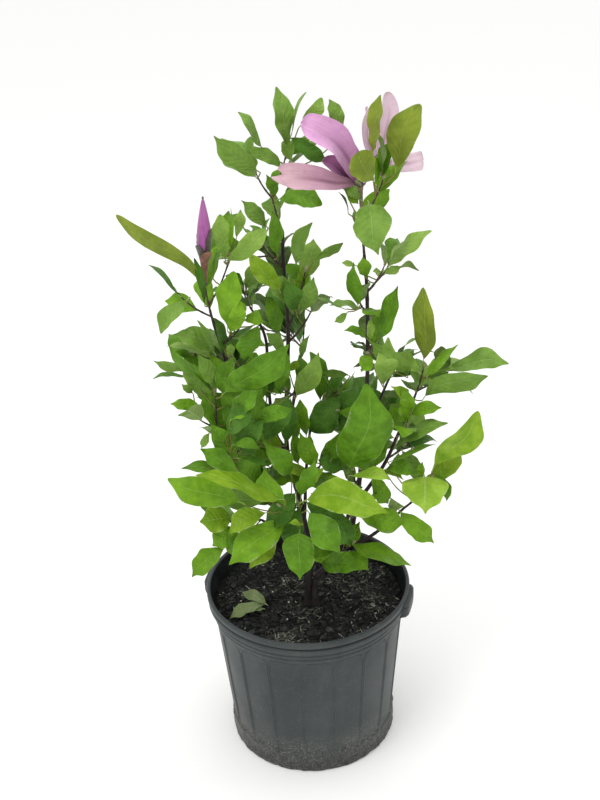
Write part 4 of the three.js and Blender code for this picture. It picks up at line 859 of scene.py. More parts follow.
for shoot in shoots.values():
    for number, entry in enumerate(shoot["leaves"]):
        lay(shoot, seen_leaf(number, *entry))
        shoot["stalks"].append(stalk_to(shoot, shoot["laid"][-1]["root"]))
shown = np.concatenate([shown_marks(leaf) for shoot in shoots.values() for leaf in shoot["laid"]])
for shoot in shoots.values():
    if len(shoot["parts"]) == 1:
        shoot["parts"] += rule_twig(shoot)
        shoot["line"] = line_of(shoot["parts"])
for shoot in shoots.values():
    counts = [shoot["rule"], *[math.ceil(shoot["rule"] * TWIG_LEAF_SHARE)] * (len(shoot["parts"]) - 1)]
    lay_by_rule(shoot, 0, counts, FIRST_LEAF, LAST_LEAF, 0, shoot["size"])
for shoot in shoots.values():
    counts = [FINE_STEPS * (1 if shoot["leaves"] else BACK_GAIN)] * len(shoot["parts"])
    lay_by_rule(shoot, FINE_SEED, counts, FIRST_FINE_LEAF, 1.0, 0.5, shoot["size"] * FINE_SIZE,
                FINE_CLEARANCE, FINE_CLEARANCE)


# Meshes

def put(name, data):
    made = bpy.data.objects.new(name, data)
    bpy.context.scene.collection.objects.link(made)
    return made


class Sheet:
    """Points, faces, flat coordinates and material numbers that are joined into one piece."""

    def __init__(self):
        self.points, self.faces, self.flat, self.kinds = [], [], [], []
        self.count = 0

    def add(self, points, faces, flat=None, kind=0):
        points = np.asarray(points, float)
        self.points.append(points)
        self.flat.append(np.zeros((len(points), 2)) if flat is None else np.asarray(flat, float))
        self.faces += [tuple(int(index) + self.count for index in face) for face in faces]
        self.kinds += [kind] * len(faces) if isinstance(kind, int) else list(kind)
        self.count += len(points)

    def add_grids(self, share, across, *grids):
        """Open grids on the same flat coordinates: each is points, whether its faces turn over, and kind."""
        flat = np.stack([share + 0 * across, (across + 1) / 2 + 0 * share], -1).reshape(-1, 2)
        for points, flip, kind in grids:
            self.add(points.reshape(-1, 3), grid_faces(*points.shape[:2], flip), flat, kind)

    def piece(self, name, materials, slot, replaces=(), smooth=True):
        mesh = bpy.data.meshes.new(name)
        mesh.from_pydata((np.concatenate(self.points) * MM).tolist(), [], self.faces)
        layer = mesh.uv_layers.new(name="UVMap")
        corners = np.zeros(len(mesh.loops), np.int32)
        mesh.loops.foreach_get("vertex_index", corners)
        layer.data.foreach_set("uv", np.concatenate(self.flat)[corners].astype(np.float32).ravel())
        for material in materials:
            mesh.materials.append(material)
        mesh.polygons.foreach_set("material_index", np.array(self.kinds, np.int32))
        mesh.polygons.foreach_set("use_smooth", np.full(len(mesh.polygons), smooth))
        mesh.update()
        piece = put(name, mesh)
        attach(piece, "root")
        if replaces:
            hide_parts(*replaces)


def grid_faces(rows, columns, flip=False, closed=False):
    faces = []
    for row in range(rows - 1):
        for column in range(columns if closed else columns - 1):
            after = (column + 1) % columns
            quad = (row * columns + column, row * columns + after,
                    (row + 1) * columns + after, (row + 1) * columns + column)
            faces.append(quad[::-1] if flip else quad)
    return faces


def pull_in(share, low, high):
    """Bend that grows toward the tip and leaves both ends where they are."""
    return ease(share, low, high) - share * ease(1.0, low, high)


def leaf_outline(share, rise, sharp):
    """Half width of a leaf: a stalk, then a blade that is blunt or drawn out into a point."""
    fall, point = FALL + FALL * sharp, POINT[0] + POINT[1] * sharp
    along = np.clip((share - STALK) / (1 - STALK), 0, 1)
    peak = rise / (rise + fall)
    body = along ** rise * (1 - along) ** fall / (peak ** rise * (1 - peak) ** fall)
    return body * (1 - point * ease(along, *POINT_STOPS))


def edge_relief(share, across, roll):
    """Uneven margin: slow waves and a few blunt lobes, not alike on the two sides."""
    relief = 1.0
    for side in (-1, 1):
        waves, phase = 1.0 + 1.5 * roll(), FULL_TURN * roll()
        lobes, shift = 3.0 + 2.5 * roll(), 3.14 * roll()
        slow = EDGE_WAVE * np.sin(2 * math.pi * waves * share + phase)
        blunt = EDGE_LOBE * roll() * np.abs(np.sin(math.pi * lobes * share + shift))
        relief = relief + np.where(across * side > 0, (slow - blunt) * hump(share) ** 0.5, 0.0)
    return relief


def add_leaf(sheet, leaf, roll, top=0, under=1):
    span, length, up, side = leaf_frame(leaf)
    half = leaf["width"] * length / 2
    calm = leaf.get("calm", 1.0)
    fold = draw(roll, *FOLDS) * calm
    curl = draw(roll, *CURLS) * calm
    twist = math.radians(scatter(roll, TWIST_SCATTER)) * calm
    wave = half * draw(roll, *WAVES) * calm
    waves, phase, lag = draw(roll, *WAVE_COUNTS), FULL_TURN * roll(), FULL_TURN * roll()
    skew = draw(roll, *SKEWS)
    arch = leaf["arch"] * draw(roll, *ARCHES)
    snake, hook = scatter(roll, SNAKE_SCATTER), scatter(roll, HOOK_SCATTER)
    drop = DROP * roll() * length
    share, across = LEAF_ROWS[:, None], LEAF_COLUMNS[None, :]
    drawn, sharp = mix(*SHARP, roll()), leaf.get("sharp")
    outline = leaf_outline(share, leaf.get("rise", LEAF_RISE), drawn if sharp is None else sharp)
    outline = outline * edge_relief(share, across, roll)
    reach = np.maximum(outline * half, STALK_HALF * (share < 0.5) + EDGE_HALF)
    blade = np.clip((share - STALK) / BLADE_START, 0, 1)
    arc = arch * length * hump(share ** skew) - drop * pull_in(share, *DROP_STOPS)
    turn = twist * (share - 0.5) * 2
    lift = np.abs(across) * reach * fold * blade * (1 - FOLD_LOSS * share)
    lift = lift + across ** 2 * reach * curl * blade * share
    lift = lift + wave * blade * hump(share) ** 0.5 * across ** 2 * np.sin(
        2 * math.pi * waves * share + np.where(across > 0, phase, phase + lag))
    right = across * reach
    level = lift * np.cos(turn) + right * np.sin(turn) + arc
    sway = leaf["bow"] * hump(share) + snake * np.sin(2 * math.pi * share)
    sway = sway + hook * pull_in(share, *HOOK_STOPS)
    right = right * np.cos(turn) - lift * np.sin(turn) + sway * length
    thick = THICKNESS + RIB_THICKNESS * np.exp(-(across / RIB_HALF) ** 2) * (1 - 0.8 * share) + 0 * across
    thick = np.where(np.abs(across) == 1, 0.0, thick * np.where(share < STALK, 1.5, 1.0))
    base = leaf["root"] + share[..., None] * span + right[..., None] * side
    upper = base + (level + SKIN * (thick > 0))[..., None] * up
    lower = base + (level - thick)[..., None] * up
    sheet.add_grids(share, across, (upper, True, top), (lower, False, under))


def add_tube(sheet, line, radii, sides, kind=0, rough=0.0, seed=0.0):
    """Tube along a line of points, with rough skin and closed ends."""
    line = np.asarray(line, float)
    tangents = np.gradient(line, axis=0)
    side = cross_axes(unit(tangents[0]))[0]
    points, flat = [], []
    for centre, tangent, radius, travelled in zip(line, tangents, radii, travel(line)):
        tangent = unit(tangent)
        side = unit(side - tangent * np.dot(side, tangent))
        up = np.cross(tangent, side)
        for step in range(sides):
            out = spoke(side, up, 2 * math.pi * step / sides)
            relief = 1.0
            if rough:
                where = centre * 0.16 + out * 0.9 + seed
                relief += rough * noise.fractal(Vector(where), 1.0, 2.0, 3)
            points.append(centre + out * radius * relief)
            flat.append((travelled / 20, step / sides))
    rings = len(line)
    faces = grid_faces(rings, sides, closed=True)
    points += [line[0], line[-1]]
    flat += [(0, 0), (1, 0)]
    last = (rings - 1) * sides
    for step in range(sides):
        after = (step + 1) % sides
        faces.append((rings * sides, after, step))
        faces.append((rings * sides + 1, last + step, last + after))
    sheet.add(points, faces, flat, kind)


# Materials

def rgb(code):
    """Plain colour code as linear light."""
    parts = [int(code[index:index + 2], 16) / 255 for index in (0, 2, 4)]
    return (*(part / 12.92 if part <= 0.04045 else ((part + 0.055) / 1.055) ** 2.4 for part in parts), 1.0)


class Paint:
    """Material with a few short ways to add its nodes. A value is a number, a colour code or a socket."""

    def __init__(self, name, colour, roughness=0.6, specular=0.4, sheen=0.0):
        self.material = bpy.data.materials.new(name)
        self.material.use_nodes = True
        self.tree = self.material.node_tree
        self.shader = self.tree.nodes["Principled BSDF"]
        self.material.diffuse_color = rgb(colour)
        self.fill(self.shader, {"Base Color": colour, "Roughness": roughness, "Specular IOR Level": specular,
                                "Sheen Weight": sheen})

    def fill(self, node, values):
        for key, value in values.items():
            if isinstance(value, str):
                node.inputs[key].default_value = rgb(value)
            elif isinstance(value, (int, float, tuple)):
                node.inputs[key].default_value = value
            else:
                self.tree.links.new(value, node.inputs[key])

    def node(self, kind, values=(), out=0, **settings):
        """Adds a node and gives one of its outputs."""
        made = self.tree.nodes.new(kind)
        for key, value in settings.items():
            setattr(made, key, value)
        self.fill(made, dict(values))
        return made.outputs[out]

    def place(self):
        return self.node("ShaderNodeTexCoord", out="Object")

    def axis(self, source, number):
        return self.node("ShaderNodeSeparateXYZ", {0: source}, number)

    def flat(self):
        return self.node("ShaderNodeUVMap", uv_map="UVMap")

    def from_middle(self):
        """Distance across a surface from its middle, from 0 to 1."""
        return self.times(self.sum("ABSOLUTE", self.sum("SUBTRACT", self.axis(self.flat(), 1), 0.5)), 2.0)

    def sum(self, operation, *values):
        return self.node("ShaderNodeMath", dict(enumerate(values)), operation=operation)

    def times(self, first, second):
        return self.sum("MULTIPLY", first, second)

    def ramp(self, value, low, high, start=0.0, end=1.0):
        values = {"Value": value, "From Min": low, "From Max": high, "To Min": start, "To Max": end}
        return self.node("ShaderNodeMapRange", values, "Result", interpolation_type="SMOOTHSTEP")

    def noise(self, scale, detail=3.0, roughness=0.55, stretch=None, where=None):
        where = where or self.place()
        if stretch:
            where = self.node("ShaderNodeMapping", {"Scale": stretch, "Vector": where})
        return self.node("ShaderNodeTexNoise", {
            "Scale": scale, "Detail": detail, "Roughness": roughness, "Vector": where})

    def grain(self, low, high, *looks):
        """Noise as a share between two of its levels, by its scale, detail, roughness and stretch."""
        return self.ramp(self.noise(*looks), low, high)

    def blend(self, share, first, second):
        return self.node("ShaderNodeMix", {0: share, 6: first, 7: second}, 2, data_type="RGBA")

    def stain(self, share, gain, tone, colour):
        return self.blend(self.times(share, gain), tone, colour)

    def colour(self, socket):
        self.fill(self.shader, {"Base Color": socket})

    def rough(self, value, low, high):
        self.fill(self.shader, {"Roughness": self.ramp(value, 0.3, 0.7, low, high)})

    def bump(self, height, strength, depth):
        values = {"Strength": strength, "Distance": depth * MM, "Height": height}
        self.fill(self.shader, {"Normal": self.node("ShaderNodeBump", values)})


def leaf_paint(name, colour, deep, pale, under=False):
    """Leaf with patches, flecks, a paler edge and stalk, and a midrib with leaning side veins."""
    paint = Paint(name, colour, *((0.6, 0.1) if under else (0.48, 0.14)))
    along, out = paint.axis(paint.flat(), 0), paint.from_middle()
    midrib = paint.ramp(out, 0.0, 0.06, 1.0, 0.0)
    lean = paint.times(paint.sum("POWER", out, 0.8), 1.7)
    wobble = paint.times(paint.noise(38.0, 1.0), 0.5)
    place = paint.sum("ADD", paint.sum("SUBTRACT", paint.times(along, 8.0), lean), wobble)
    saw = paint.sum("PINGPONG", place, 0.5)
    side = paint.times(paint.ramp(saw, 0.0, 0.07, 1.0, 0.0), paint.ramp(out, 0.5, 1.0, 1.0, 0.1))
    tone = paint.blend(paint.grain(0.36, 0.62, 45.0, 4.0, 0.6), colour, deep)
    tone = paint.stain(paint.grain(0.4, 0.75, 230.0, 3.0, 0.6), 0.3, tone, deep)
    tone = paint.stain(paint.ramp(out, 0.93, 1.0), 0.3, tone, pale)
    midrib_share, side_share = (0.6, 0.4) if under else (0.4, 0.1)
    vein = paint.sum("MAXIMUM", paint.times(midrib, midrib_share), paint.times(side, side_share))
    stalk = paint.ramp(along, 0.06, 0.13, 1.0, 0.0)
    paint.colour(paint.blend(paint.sum("MAXIMUM", vein, stalk), tone, pale))
    if under:
        paint.bump(paint.sum("ADD", paint.times(midrib, 0.8), paint.times(side, 0.6)), 0.55, 0.5)
    else:
        height = paint.sum("SUBTRACT", paint.times(paint.ramp(saw, 0.0, 0.5), 0.5), paint.times(midrib, 0.7))
        paint.bump(paint.sum("MULTIPLY_ADD", paint.noise(110.0, 2.0), 1.6, height), 0.8, 0.8)
        paint.rough(paint.noise(90.0, 2.0), 0.38, 0.52)
    return paint.material


def leaf_paints(name, colour, deep, pale, *under):
    return [leaf_paint(name, colour, deep, pale), leaf_paint(f"{name}_under", *under, under=True)]


def bark_paint(name, colour, light, pore, scale=1.0):
    paint = Paint(name, colour, 0.62, 0.35)
    streak = paint.grain(0.35, 0.7, 160.0 * scale, 4.0, 0.6, (1.0, 1.0, 0.25))
    dots = paint.node("ShaderNodeTexVoronoi", {"Scale": 320.0 * scale, "Vector": paint.place()}, "Distance")
    pores = paint.ramp(dots, 0.08, 0.16, 1.0, 0.0)
    paint.colour(paint.stain(pores, 0.75, paint.blend(streak, colour, light), pore))
    paint.bump(paint.sum("ADD", streak, pores), 0.5, 0.5)
    return paint.material


def petal_paint(name, tip, middle, base, streak, depth):
    """Petal colour from base to tip, with fine lengthwise streaks and a darker midline."""
    paint = Paint(name, middle, 0.5, 0.3, 0.25)
    along, out = paint.axis(paint.flat(), 0), paint.from_middle()
    streaks = paint.grain(0.35, 0.7, 1.0, 4.0, 0.6, (3.0, 42.0, 1.0), paint.flat())
    tone = paint.blend(paint.ramp(along, 0.35, 0.85), middle, tip)
    low = paint.sum("ADD", along, paint.times(streaks, 0.12))
    tone = paint.blend(paint.ramp(low, 0.12, depth, 1.0, 0.0), tone, base)
    fade = paint.times(paint.ramp(along, 0.3, 0.95, 1.0, 0.0), paint.ramp(out, 0.0, 0.35, 1.0, 0.0))
    tone = paint.stain(fade, 0.7, tone, base)
    tone = paint.stain(streaks, 0.35, tone, streak)
    paint.colour(paint.stain(paint.grain(0.48, 0.7, 70.0, 4.0, 0.65), 0.3, tone, streak))
    paint.bump(streaks, 0.4, 0.5)
    return paint.material


def grainy_paint(name, base, dark, light, grain, relief=None, looks=(0.85, 0.4, 0.5)):
    """Two colours in one grain. Relief is its own grain, strength and depth."""
    paint = Paint(name, base, *looks)
    paint.colour(paint.blend(paint.grain(0.35, 0.7, *grain), dark, light))
    if relief:
        paint.bump(paint.noise(*relief[0]), *relief[1:])
    return paint.material


def hairy_paint(name, colour, light, grain=260.0):
    return grainy_paint(name, colour, colour, light, (grain,), ((600.0,), 0.7, 0.3))


def pot_paint():
    """Black plastic with haze and scratches, dusty toward its foot, with painted shade in the groove below
    the lip.
    """
    paint = Paint("pot_plastic", "2a3130", 0.46)
    height = paint.axis(paint.place(), 2)
    low = paint.sum("MULTIPLY_ADD", paint.noise(26.0, 4.0), 0.07, height)
    low = paint.ramp(low, 0.035, 0.115, 1.0, 0.0)
    mud = paint.sum("MULTIPLY_ADD", paint.noise(60.0, 5.0, 0.7), 0.04, height)
    mud = paint.ramp(mud, 0.026, 0.062, 1.0, 0.0)
    grit = paint.grain(0.42, 0.66, 330.0, 5.0, 0.75)
    tone = paint.blend(paint.grain(0.35, 0.65, 7.0, 2.0), "262d2e", "2f3737")
    tone = paint.stain(paint.grain(0.45, 0.75, 30.0, 3.0, 0.6, (1.0, 1.0, 0.15)), 0.3, tone, "3c4646")
    tone = paint.stain(paint.grain(0.46, 0.72, 18.0, 5.0, 0.7), 0.3, tone, "464644")
    tone = paint.stain(paint.grain(0.54, 0.7, 150.0, 4.0, 0.75), 0.25, tone, "525d5b")
    tone = paint.stain(low, paint.sum("MULTIPLY_ADD", grit, 0.8, 0.02), tone, "79746d")
    specks = paint.grain(0.64, 0.72, 520.0, 2.0, 0.5)
    tone = paint.stain(specks, paint.sum("MULTIPLY_ADD", low, 0.6, 0.12), tone, "b0aaa0")
    tone = paint.stain(mud, paint.sum("MULTIPLY_ADD", grit, -0.45, 0.8), tone, "1b1a19")
    # Painted shade: the recess between the bead and the lip is darkened in the colour, for the shade that
    # falls in it.
    groove_shade = paint.times(paint.ramp(height, (BEAD_TOP - 0.5) * MM, (BEAD_TOP + 0.8) * MM),
                         paint.ramp(height, (LIP_BOTTOM - 0.8) * MM, (LIP_BOTTOM + 0.4) * MM, 1.0, 0.0))
    paint.colour(paint.stain(groove_shade, 0.85, tone, "0d1011"))
    paint.rough(paint.noise(12.0, 3.0), 0.42, 0.54)
    relief = paint.times(paint.noise(260.0, 5.0, 0.7), paint.sum("MULTIPLY_ADD", low, 0.9, 0.12))
    paint.bump(relief, 0.8, 0.6)
    return paint.material


def inner_pot_paint():
    paint = Paint("pot_inside", "15191a", 0.4)
    paint.colour(paint.stain(paint.grain(0.45, 0.75, 60.0, 5.0, 0.7), 0.6, "121516", "343937"))
    paint.bump(paint.noise(220.0, 4.0), 0.4, 0.3)
    return paint.material


# Foliage: each spray takes its tone, and its leaves the tones next to it

tone_sheets = [Sheet() for _ in TONES]
tone_nodes = [[] for _ in TONES]
for name, shoot in shoots.items():
    roll = dice(shoot["seed"] + TONE_SEED)
    # The spray's kind picks its tones by place: deeper ones as painted shade, greyer ones as painted sheen
    tones = SPRAY_TONES[shoot["tone"]]
    for leaf in shoot["laid"]:
        drawn = tones[int(roll() * len(tones)) % len(tones)]
        tone = leaf.get("tone")
        if shoot["tone"] == 0 and leaf.get("sharp") is None:
            leaf["sharp"] = mix(*BRIGHT_SHARP, roll())
        add_leaf(tone_sheets[drawn if tone is None else tone], leaf, roll)
    tone_nodes[tones[SPRAY_HOME]].append(name)
for (name, colour, deep, pale, *under, slot), sheet, nodes in zip(TONES, tone_sheets, tone_nodes):
    paints = leaf_paints(f"leaf_{name}", colour, deep, pale, *under, UNDER_PALE)
    sheet.piece(f"leaves_{name}", paints, slot, nodes)


# Wood

def limb_line(curve, pitch):
    count = max(6, int(curve.length() / pitch)) + 1
    return np.linspace(0, 1, count), curve.row(count)


def limb_radii(shares, line, radii, flare=1.0, step=NODE_STEP, swell=0.35):
    """Radii that taper, flare at the foot and swell at each node."""
    travelled = travel(line)
    rise = np.clip(1 - (line[:, 2] - line[0, 2]) / FLARE_HEIGHT, 0, 1)
    base = mix(radii[0], radii[1], shares) * (1 + (flare - 1) * rise ** 3)
    nodes = np.exp(-((((travelled + step / 2) % step) - step / 2) / NODE_HALF) ** 2)
    return base + swell * nodes * (travelled > step / 2)


def add_limb(sheet, curve, radii, sides, rough, seed, pitch=4.0, **nodes):
    shares, line = limb_line(curve, pitch)
    add_tube(sheet, line, limb_radii(shares, line, radii, **nodes), sides, rough=rough, seed=seed)


def add_end_bud(sheet, foot, aim, length=8.0, radius=1.7, kind=0):
    shares = np.linspace(0, 1, 9)
    swell = np.sin(math.pi * np.clip(shares * 0.86 + 0.14, 0, 1)) ** 0.8
    add_tube(sheet, foot + shares[:, None] * aim * length, radius * swell + 0.15, 8, kind, 0.1)


trunk_sheet, bough_sheet, twig_sheet, stalk_sheet, bud_sheet = (Sheet() for _ in range(5))
for number, (name, radii, _) in enumerate(TRUNK_STEMS):
    add_limb(trunk_sheet, limbs[name], radii, TRUNK_SIDES, 0.12, number, FINE_PITCH, flare=FLARE, swell=0.2)
for number, (name, _, _, radii, _) in enumerate(LIMBS):
    add_limb(bough_sheet, limbs[name], radii, BOUGH_SIDES, 0.08, number * 3.1)
for number, shoot in enumerate(shoots.values()):
    for part, curve in enumerate(shoot["parts"]):
        radii = (SHOOT_RADIUS if part == 0 else TWIG_RADIUS, SHOOT_TIP_RADIUS)
        add_limb(twig_sheet, curve, radii, TWIG_SIDES, 0.06, number, FINE_PITCH, step=SHOOT_NODE_STEP,
                 swell=0.3)
        add_end_bud(bud_sheet, curve.at(1), curve.tangent(1), 7.0 + shoot["seed"] % 4)
    for curve in shoot["stalks"]:
        shares, line = limb_line(curve, 2.0)
        add_tube(stalk_sheet, line, mix(*STALK_RADII, shares), STALK_SIDES, rough=0.08, seed=number)
end_bud_paint = grainy_paint("end_bud", "7d7a4c", "6b6a3c", "a3a06e", (300.0,), ((500.0,), 0.6, 0.3),
                             (0.8, 0.4, 0.5))
trunk_paint = bark_paint("old_bark", "1a1715", "2f2824", "544c43", 0.7)
limb_names = [name for name, *_ in LIMBS]
trunk_sheet.piece("trunk_bark", [trunk_paint], "bark", ["trunk"])
bough_sheet.piece("bough_bark", [bark_paint("young_bark", "241a1b", "382a29", "776a5e")], "bark", limb_names)
twig_sheet.piece("twigs", [bark_paint("twig_bark", "352a27", "4c3d2f", "8c7b64")], "bark")
stalk_sheet.piece("leaf_stalks", [bark_paint("stalk_skin", "6f7a35", "7d6a3a", "97a056")], "foliage_mid")
bud_sheet.piece("end_buds", [end_bud_paint], "foliage_mid")


# Flowers

def add_petal(sheet, petal, roll, inside=0, outside=1):
    spine = Spline(petal["line"])
    face = np.array(petal.get("face", TO_FRONT), float)
    share, across = PETAL_ROWS[:, None], PETAL_COLUMNS[None, :]
    centre = np.array([spine.at(value) for value in PETAL_ROWS])
    along = np.array([spine.tangent(value) for value in PETAL_ROWS])
    up = np.array([unit(face - line * np.dot(face, line)) for line in along])
    side = np.cross(along, up)
    half = np.interp(PETAL_ROWS, np.linspace(0, 1, len(petal["half"])), petal["half"])[:, None]
    before, after = share > 0.04, share < 0.9
    half = (half + np.roll(half, 1, 0) * before + np.roll(half, -1, 0) * after) / (1.0 + before + after)
    blunt = petal.get("blunt", PETAL_BLUNT)
    round_end = np.sqrt(np.clip(1 - (np.clip(share - blunt, 0, 1) / (1 - blunt)) ** 2.4, 0, 1))
    edge = 1 + PETAL_EDGE * np.sin(9 * share + FULL_TURN * roll()) * np.sign(across)
    reach = half * edge * mix(1.0, round_end, petal.get("round", PETAL_ROUND))
    length = spine.length()
    trim = petal.get("trim", (0, 0))
    cut = length * ease(share, 0.55, 1.0) * np.interp(across, np.linspace(-1, 1, len(trim)), trim)
    wave = half * PETAL_WAVE * across ** 2 * np.sin(FULL_TURN * (1.7 * share + roll()))
    lift = petal.get("cup", PETAL_CUP) * across ** 2 * half + wave
    keel = half * PETAL_KEEL * np.exp(-(across / 0.14) ** 2) * hump(share)
    lift = lift - keel + half * PETAL_RIPPLE * np.sin(across * 9 + 4 * share)
    lift = lift - petal.get("curl", 0.0) * length * ease(share, 0.75, 1.05)
    thick = np.where(np.abs(across) > 0.99, 0.05, PETAL_THICKNESS * (1 - 0.5 * share))
    thick = thick * np.where(share > 0.99, 0.2, 1.0)
    upper = centre[:, None] + (across * reach)[..., None] * side[:, None] + lift[..., None] * up[:, None]
    upper = upper - cut[..., None] * along[:, None]
    lower = upper - thick[..., None] * up[:, None]
    sheet.add_grids(share, across, (upper, True, inside), (lower, False, outside))


BLOOM_PAINTS = {
    "front_bloom": ("petal_pink", [
        ("petal_inside", "e2abd6", "d093c3", "702a5c", "ad66a2", 0.46),
        ("petal_outside", "d9a0cd", "c07cb5", "652353", "9f569a", 0.56),
        ("low_petal_inside", "d2afb6", "c392a9", "5e2a40", "a06f88", 0.5),
        ("low_petal_outside", "cda6a9", "b87f97", "572438", "93607c", 0.55),
        ("inner_petal", "a0648f", "7c3f6c", "43192f", "662f58", 0.65)]),
    "back_bloom": ("petal_pale", [
        ("pale_petal_inside", "e3cbd6", "dabfce", "a9709a", "caa3bd", 0.28),
        ("pale_petal_outside", "dcc2cf", "cfafc2", "955c88", "bd93ae", 0.34)]),
}
bract_sheet = Sheet()
for bloom in BLOOMS:
    roll = dice(len(bloom["name"]) * 31 + 5)
    sheet = Sheet()
    heart = np.array(bloom["heart"], float)
    for petal in bloom["petals"]:
        add_petal(sheet, dict(petal, line=[heart, *petal["line"]]), roll, *petal.get("paints", (0, 1)))
    slot, paints = BLOOM_PAINTS[bloom["name"]]
    sheet.piece(bloom["name"] + "_petals", [petal_paint(*paint) for paint in paints], slot, [bloom["name"]])
    curve = Bow(shoots[BLOOM_SHOOT]["parts"][0].at(bloom["along"]), heart)
    shares, line = limb_line(curve, 1.5)
    add_tube(bract_sheet, line, mix(*FLOWER_STALK_RADII, shares ** 2), 12, 0, 0.12)
    aim = curve.tangent(1)
    for turn in range(BRACTS):
        out = spoke(*cross_axes(aim), turn * BRACT_TURN)
        scale = dict(root=heart - aim * 4, tip=heart + out * 9 + aim * 12, width=0.5, face=-out,
                     arch=-0.1, bow=0.0)
        add_leaf(bract_sheet, scale, roll, 1, 1)
add_tube(bract_sheet, Spline(FILAMENT).row(FILAMENT_ROWS), np.linspace(0.9, 0.6, FILAMENT_ROWS), 8, 3, 0.1)

bud_span = BUD_TIP - bud_foot
bud_aim = unit(bud_span)
bud_side, bud_up = cross_axes(bud_aim)


def bud_radius(share):
    return BUD_RADIUS * np.interp(share, BUD_MARKS, BUD_BULGE)


def add_shell(sheet, low, high, turn, spread, stand_off, kind, rows=20, columns=13, thick=0.7):
    """Scale that hugs the bud from one height to another and stands off at its tip."""
    share, across = np.linspace(0, 1, rows)[:, None], np.linspace(-1, 1, columns)[None, :]
    place = mix(low, high, share) + 0 * across
    half = spread * (0.55 + 0.45 * np.sin(math.pi * np.clip(share * 0.9 + 0.1, 0, 1)))
    half = half * np.sqrt(np.clip(1 - share ** 5, 0, 1))
    angle = turn + across * half
    radius = bud_radius(place) + 0.5 + stand_off * share ** 2.5 + 0.4 * np.abs(across) ** 2
    out = np.cos(angle)[..., None] * bud_side + np.sin(angle)[..., None] * bud_up
    centre = bud_foot + place[..., None] * bud_span
    sheet.add_grids(share, across, (centre + radius[..., None] * out, False, kind),
                    (centre + (radius - thick)[..., None] * out, True, kind))


points, flat = [], []
for share in np.linspace(0, 1, BUD_ROWS):
    for step in range(BUD_SIDES):
        spiral = (step / BUD_SIDES * 3 + share * 1.1) % 1.0
        radius = bud_radius(share) * (0.88 + 0.16 * ease(spiral, 0.0, 0.9))
        out = spoke(bud_side, bud_up, 2 * math.pi * step / BUD_SIDES)
        points.append(mix(bud_foot, BUD_TIP, share) + radius * out)
        flat.append((share, step / BUD_SIDES))
sheet = Sheet()
sheet.add(points, grid_faces(BUD_ROWS, BUD_SIDES, closed=True), flat)
sheet.piece("bud_petals", [petal_paint("bud_petal", "a9619f", "954a8c", "4a1f3a", "74356c", 0.55)],
            "bud_purple", ["left_bud"])
for shell in BUD_SHELLS:
    add_shell(bract_sheet, *shell)
add_end_bud(bract_sheet, BUD_TIP - 2.0 * bud_aim, bud_aim, 4.0, 1.1, 3)
bract_sheet.piece("bracts", [
    hairy_paint("flower_stalk", "6b5a44", "8f7d5c"), hairy_paint("bract", "5d6a3c", "87935c", 200.0),
    hairy_paint("bud_hood", "2f2c20", "545038", 200.0), hairy_paint("dark_tip", "3a2a33", "5d5058"),
    hairy_paint("brown_scale", "6e4433", "95624b", 180.0),
], "bark")


# Pot

def pot_profile():
    """Radius and height of each row, from the middle of the underside over the rim to the inner floor."""
    rows = [
        (0, 0), (UNDERSIDE_RADIUS - 6, 0), (UNDERSIDE_RADIUS, 0), (UNDERSIDE_RADIUS + 1.6, 1.2),
        (UNDERSIDE_RADIUS + 2.4, 4), (UNDERSIDE_RADIUS + 2.7, 12), (FOOT_RADIUS - 0.4, FOOT_BAND_TOP - 4),
        (FOOT_RADIUS - 0.1, FOOT_BAND_TOP - 2), (WALL_FOOT_RADIUS + 1.2, FOOT_BAND_TOP - 0.6),
        (WALL_FOOT_RADIUS, FOOT_BAND_TOP + 0.4),
    ]
    for height in (*np.linspace(FOOT_BAND_TOP + 1.5, PANEL_TOP - 16, 26),
                   *np.arange(PANEL_TOP - 15, COLLAR_BOTTOM - 1, 0.9)):
        share = (height - FOOT_BAND_TOP) / (COLLAR_BOTTOM - FOOT_BAND_TOP)
        rows.append((mix(WALL_FOOT_RADIUS, WALL_TOP_RADIUS, share), height))
    rows += [
        (WALL_TOP_RADIUS, COLLAR_BOTTOM - 0.6), (COLLAR_FOOT_RADIUS - 0.8, COLLAR_BOTTOM + 0.2),
        (COLLAR_FOOT_RADIUS, COLLAR_BOTTOM + 1.6),
    ]
    for line in COLLAR_LINES:
        share = (line - COLLAR_BOTTOM) / (COLLAR_TOP - COLLAR_BOTTOM)
        radius = mix(COLLAR_FOOT_RADIUS, COLLAR_TOP_RADIUS, share)
        rows += [(radius, line - 1.1), (radius - 0.9, line - 0.4), (radius - 0.9, line + 0.2),
                 (radius + 0.3, line + 0.8)]
    return rows + [
        (COLLAR_TOP_RADIUS, COLLAR_TOP - 0.4), (COLLAR_TOP_RADIUS + 0.6, COLLAR_TOP + 0.6),
        (BEAD_RADIUS - 0.8, COLLAR_TOP + 1.2), (BEAD_RADIUS, COLLAR_TOP + 2.0), (BEAD_RADIUS, BEAD_TOP - 1.0),
        (BEAD_RADIUS - 0.7, BEAD_TOP), (LIP_GROOVE_RADIUS, BEAD_TOP + 0.5),
        (LIP_GROOVE_RADIUS, LIP_BOTTOM - 0.6), (RIM_RADIUS - 0.8, LIP_BOTTOM - 0.2),
        (RIM_RADIUS, LIP_BOTTOM + 0.6), (RIM_RADIUS, POT_HEIGHT - 2.2), (RIM_RADIUS - 0.7, POT_HEIGHT - 0.6),
        (RIM_RADIUS - 1.8, POT_HEIGHT), (MOUTH_RADIUS + 0.6, POT_HEIGHT),
        (MOUTH_RADIUS - 0.4, POT_HEIGHT - 0.8), (THROAT_RADIUS, POT_HEIGHT - 3),
        (COLLAR_INNER_RADIUS, COLLAR_TOP), (WALL_TOP_RADIUS - WALL, COLLAR_BOTTOM),
        (WALL_FOOT_RADIUS - WALL, FOOT_BAND_TOP), (0, FOOT_BAND_TOP - 1),
    ]


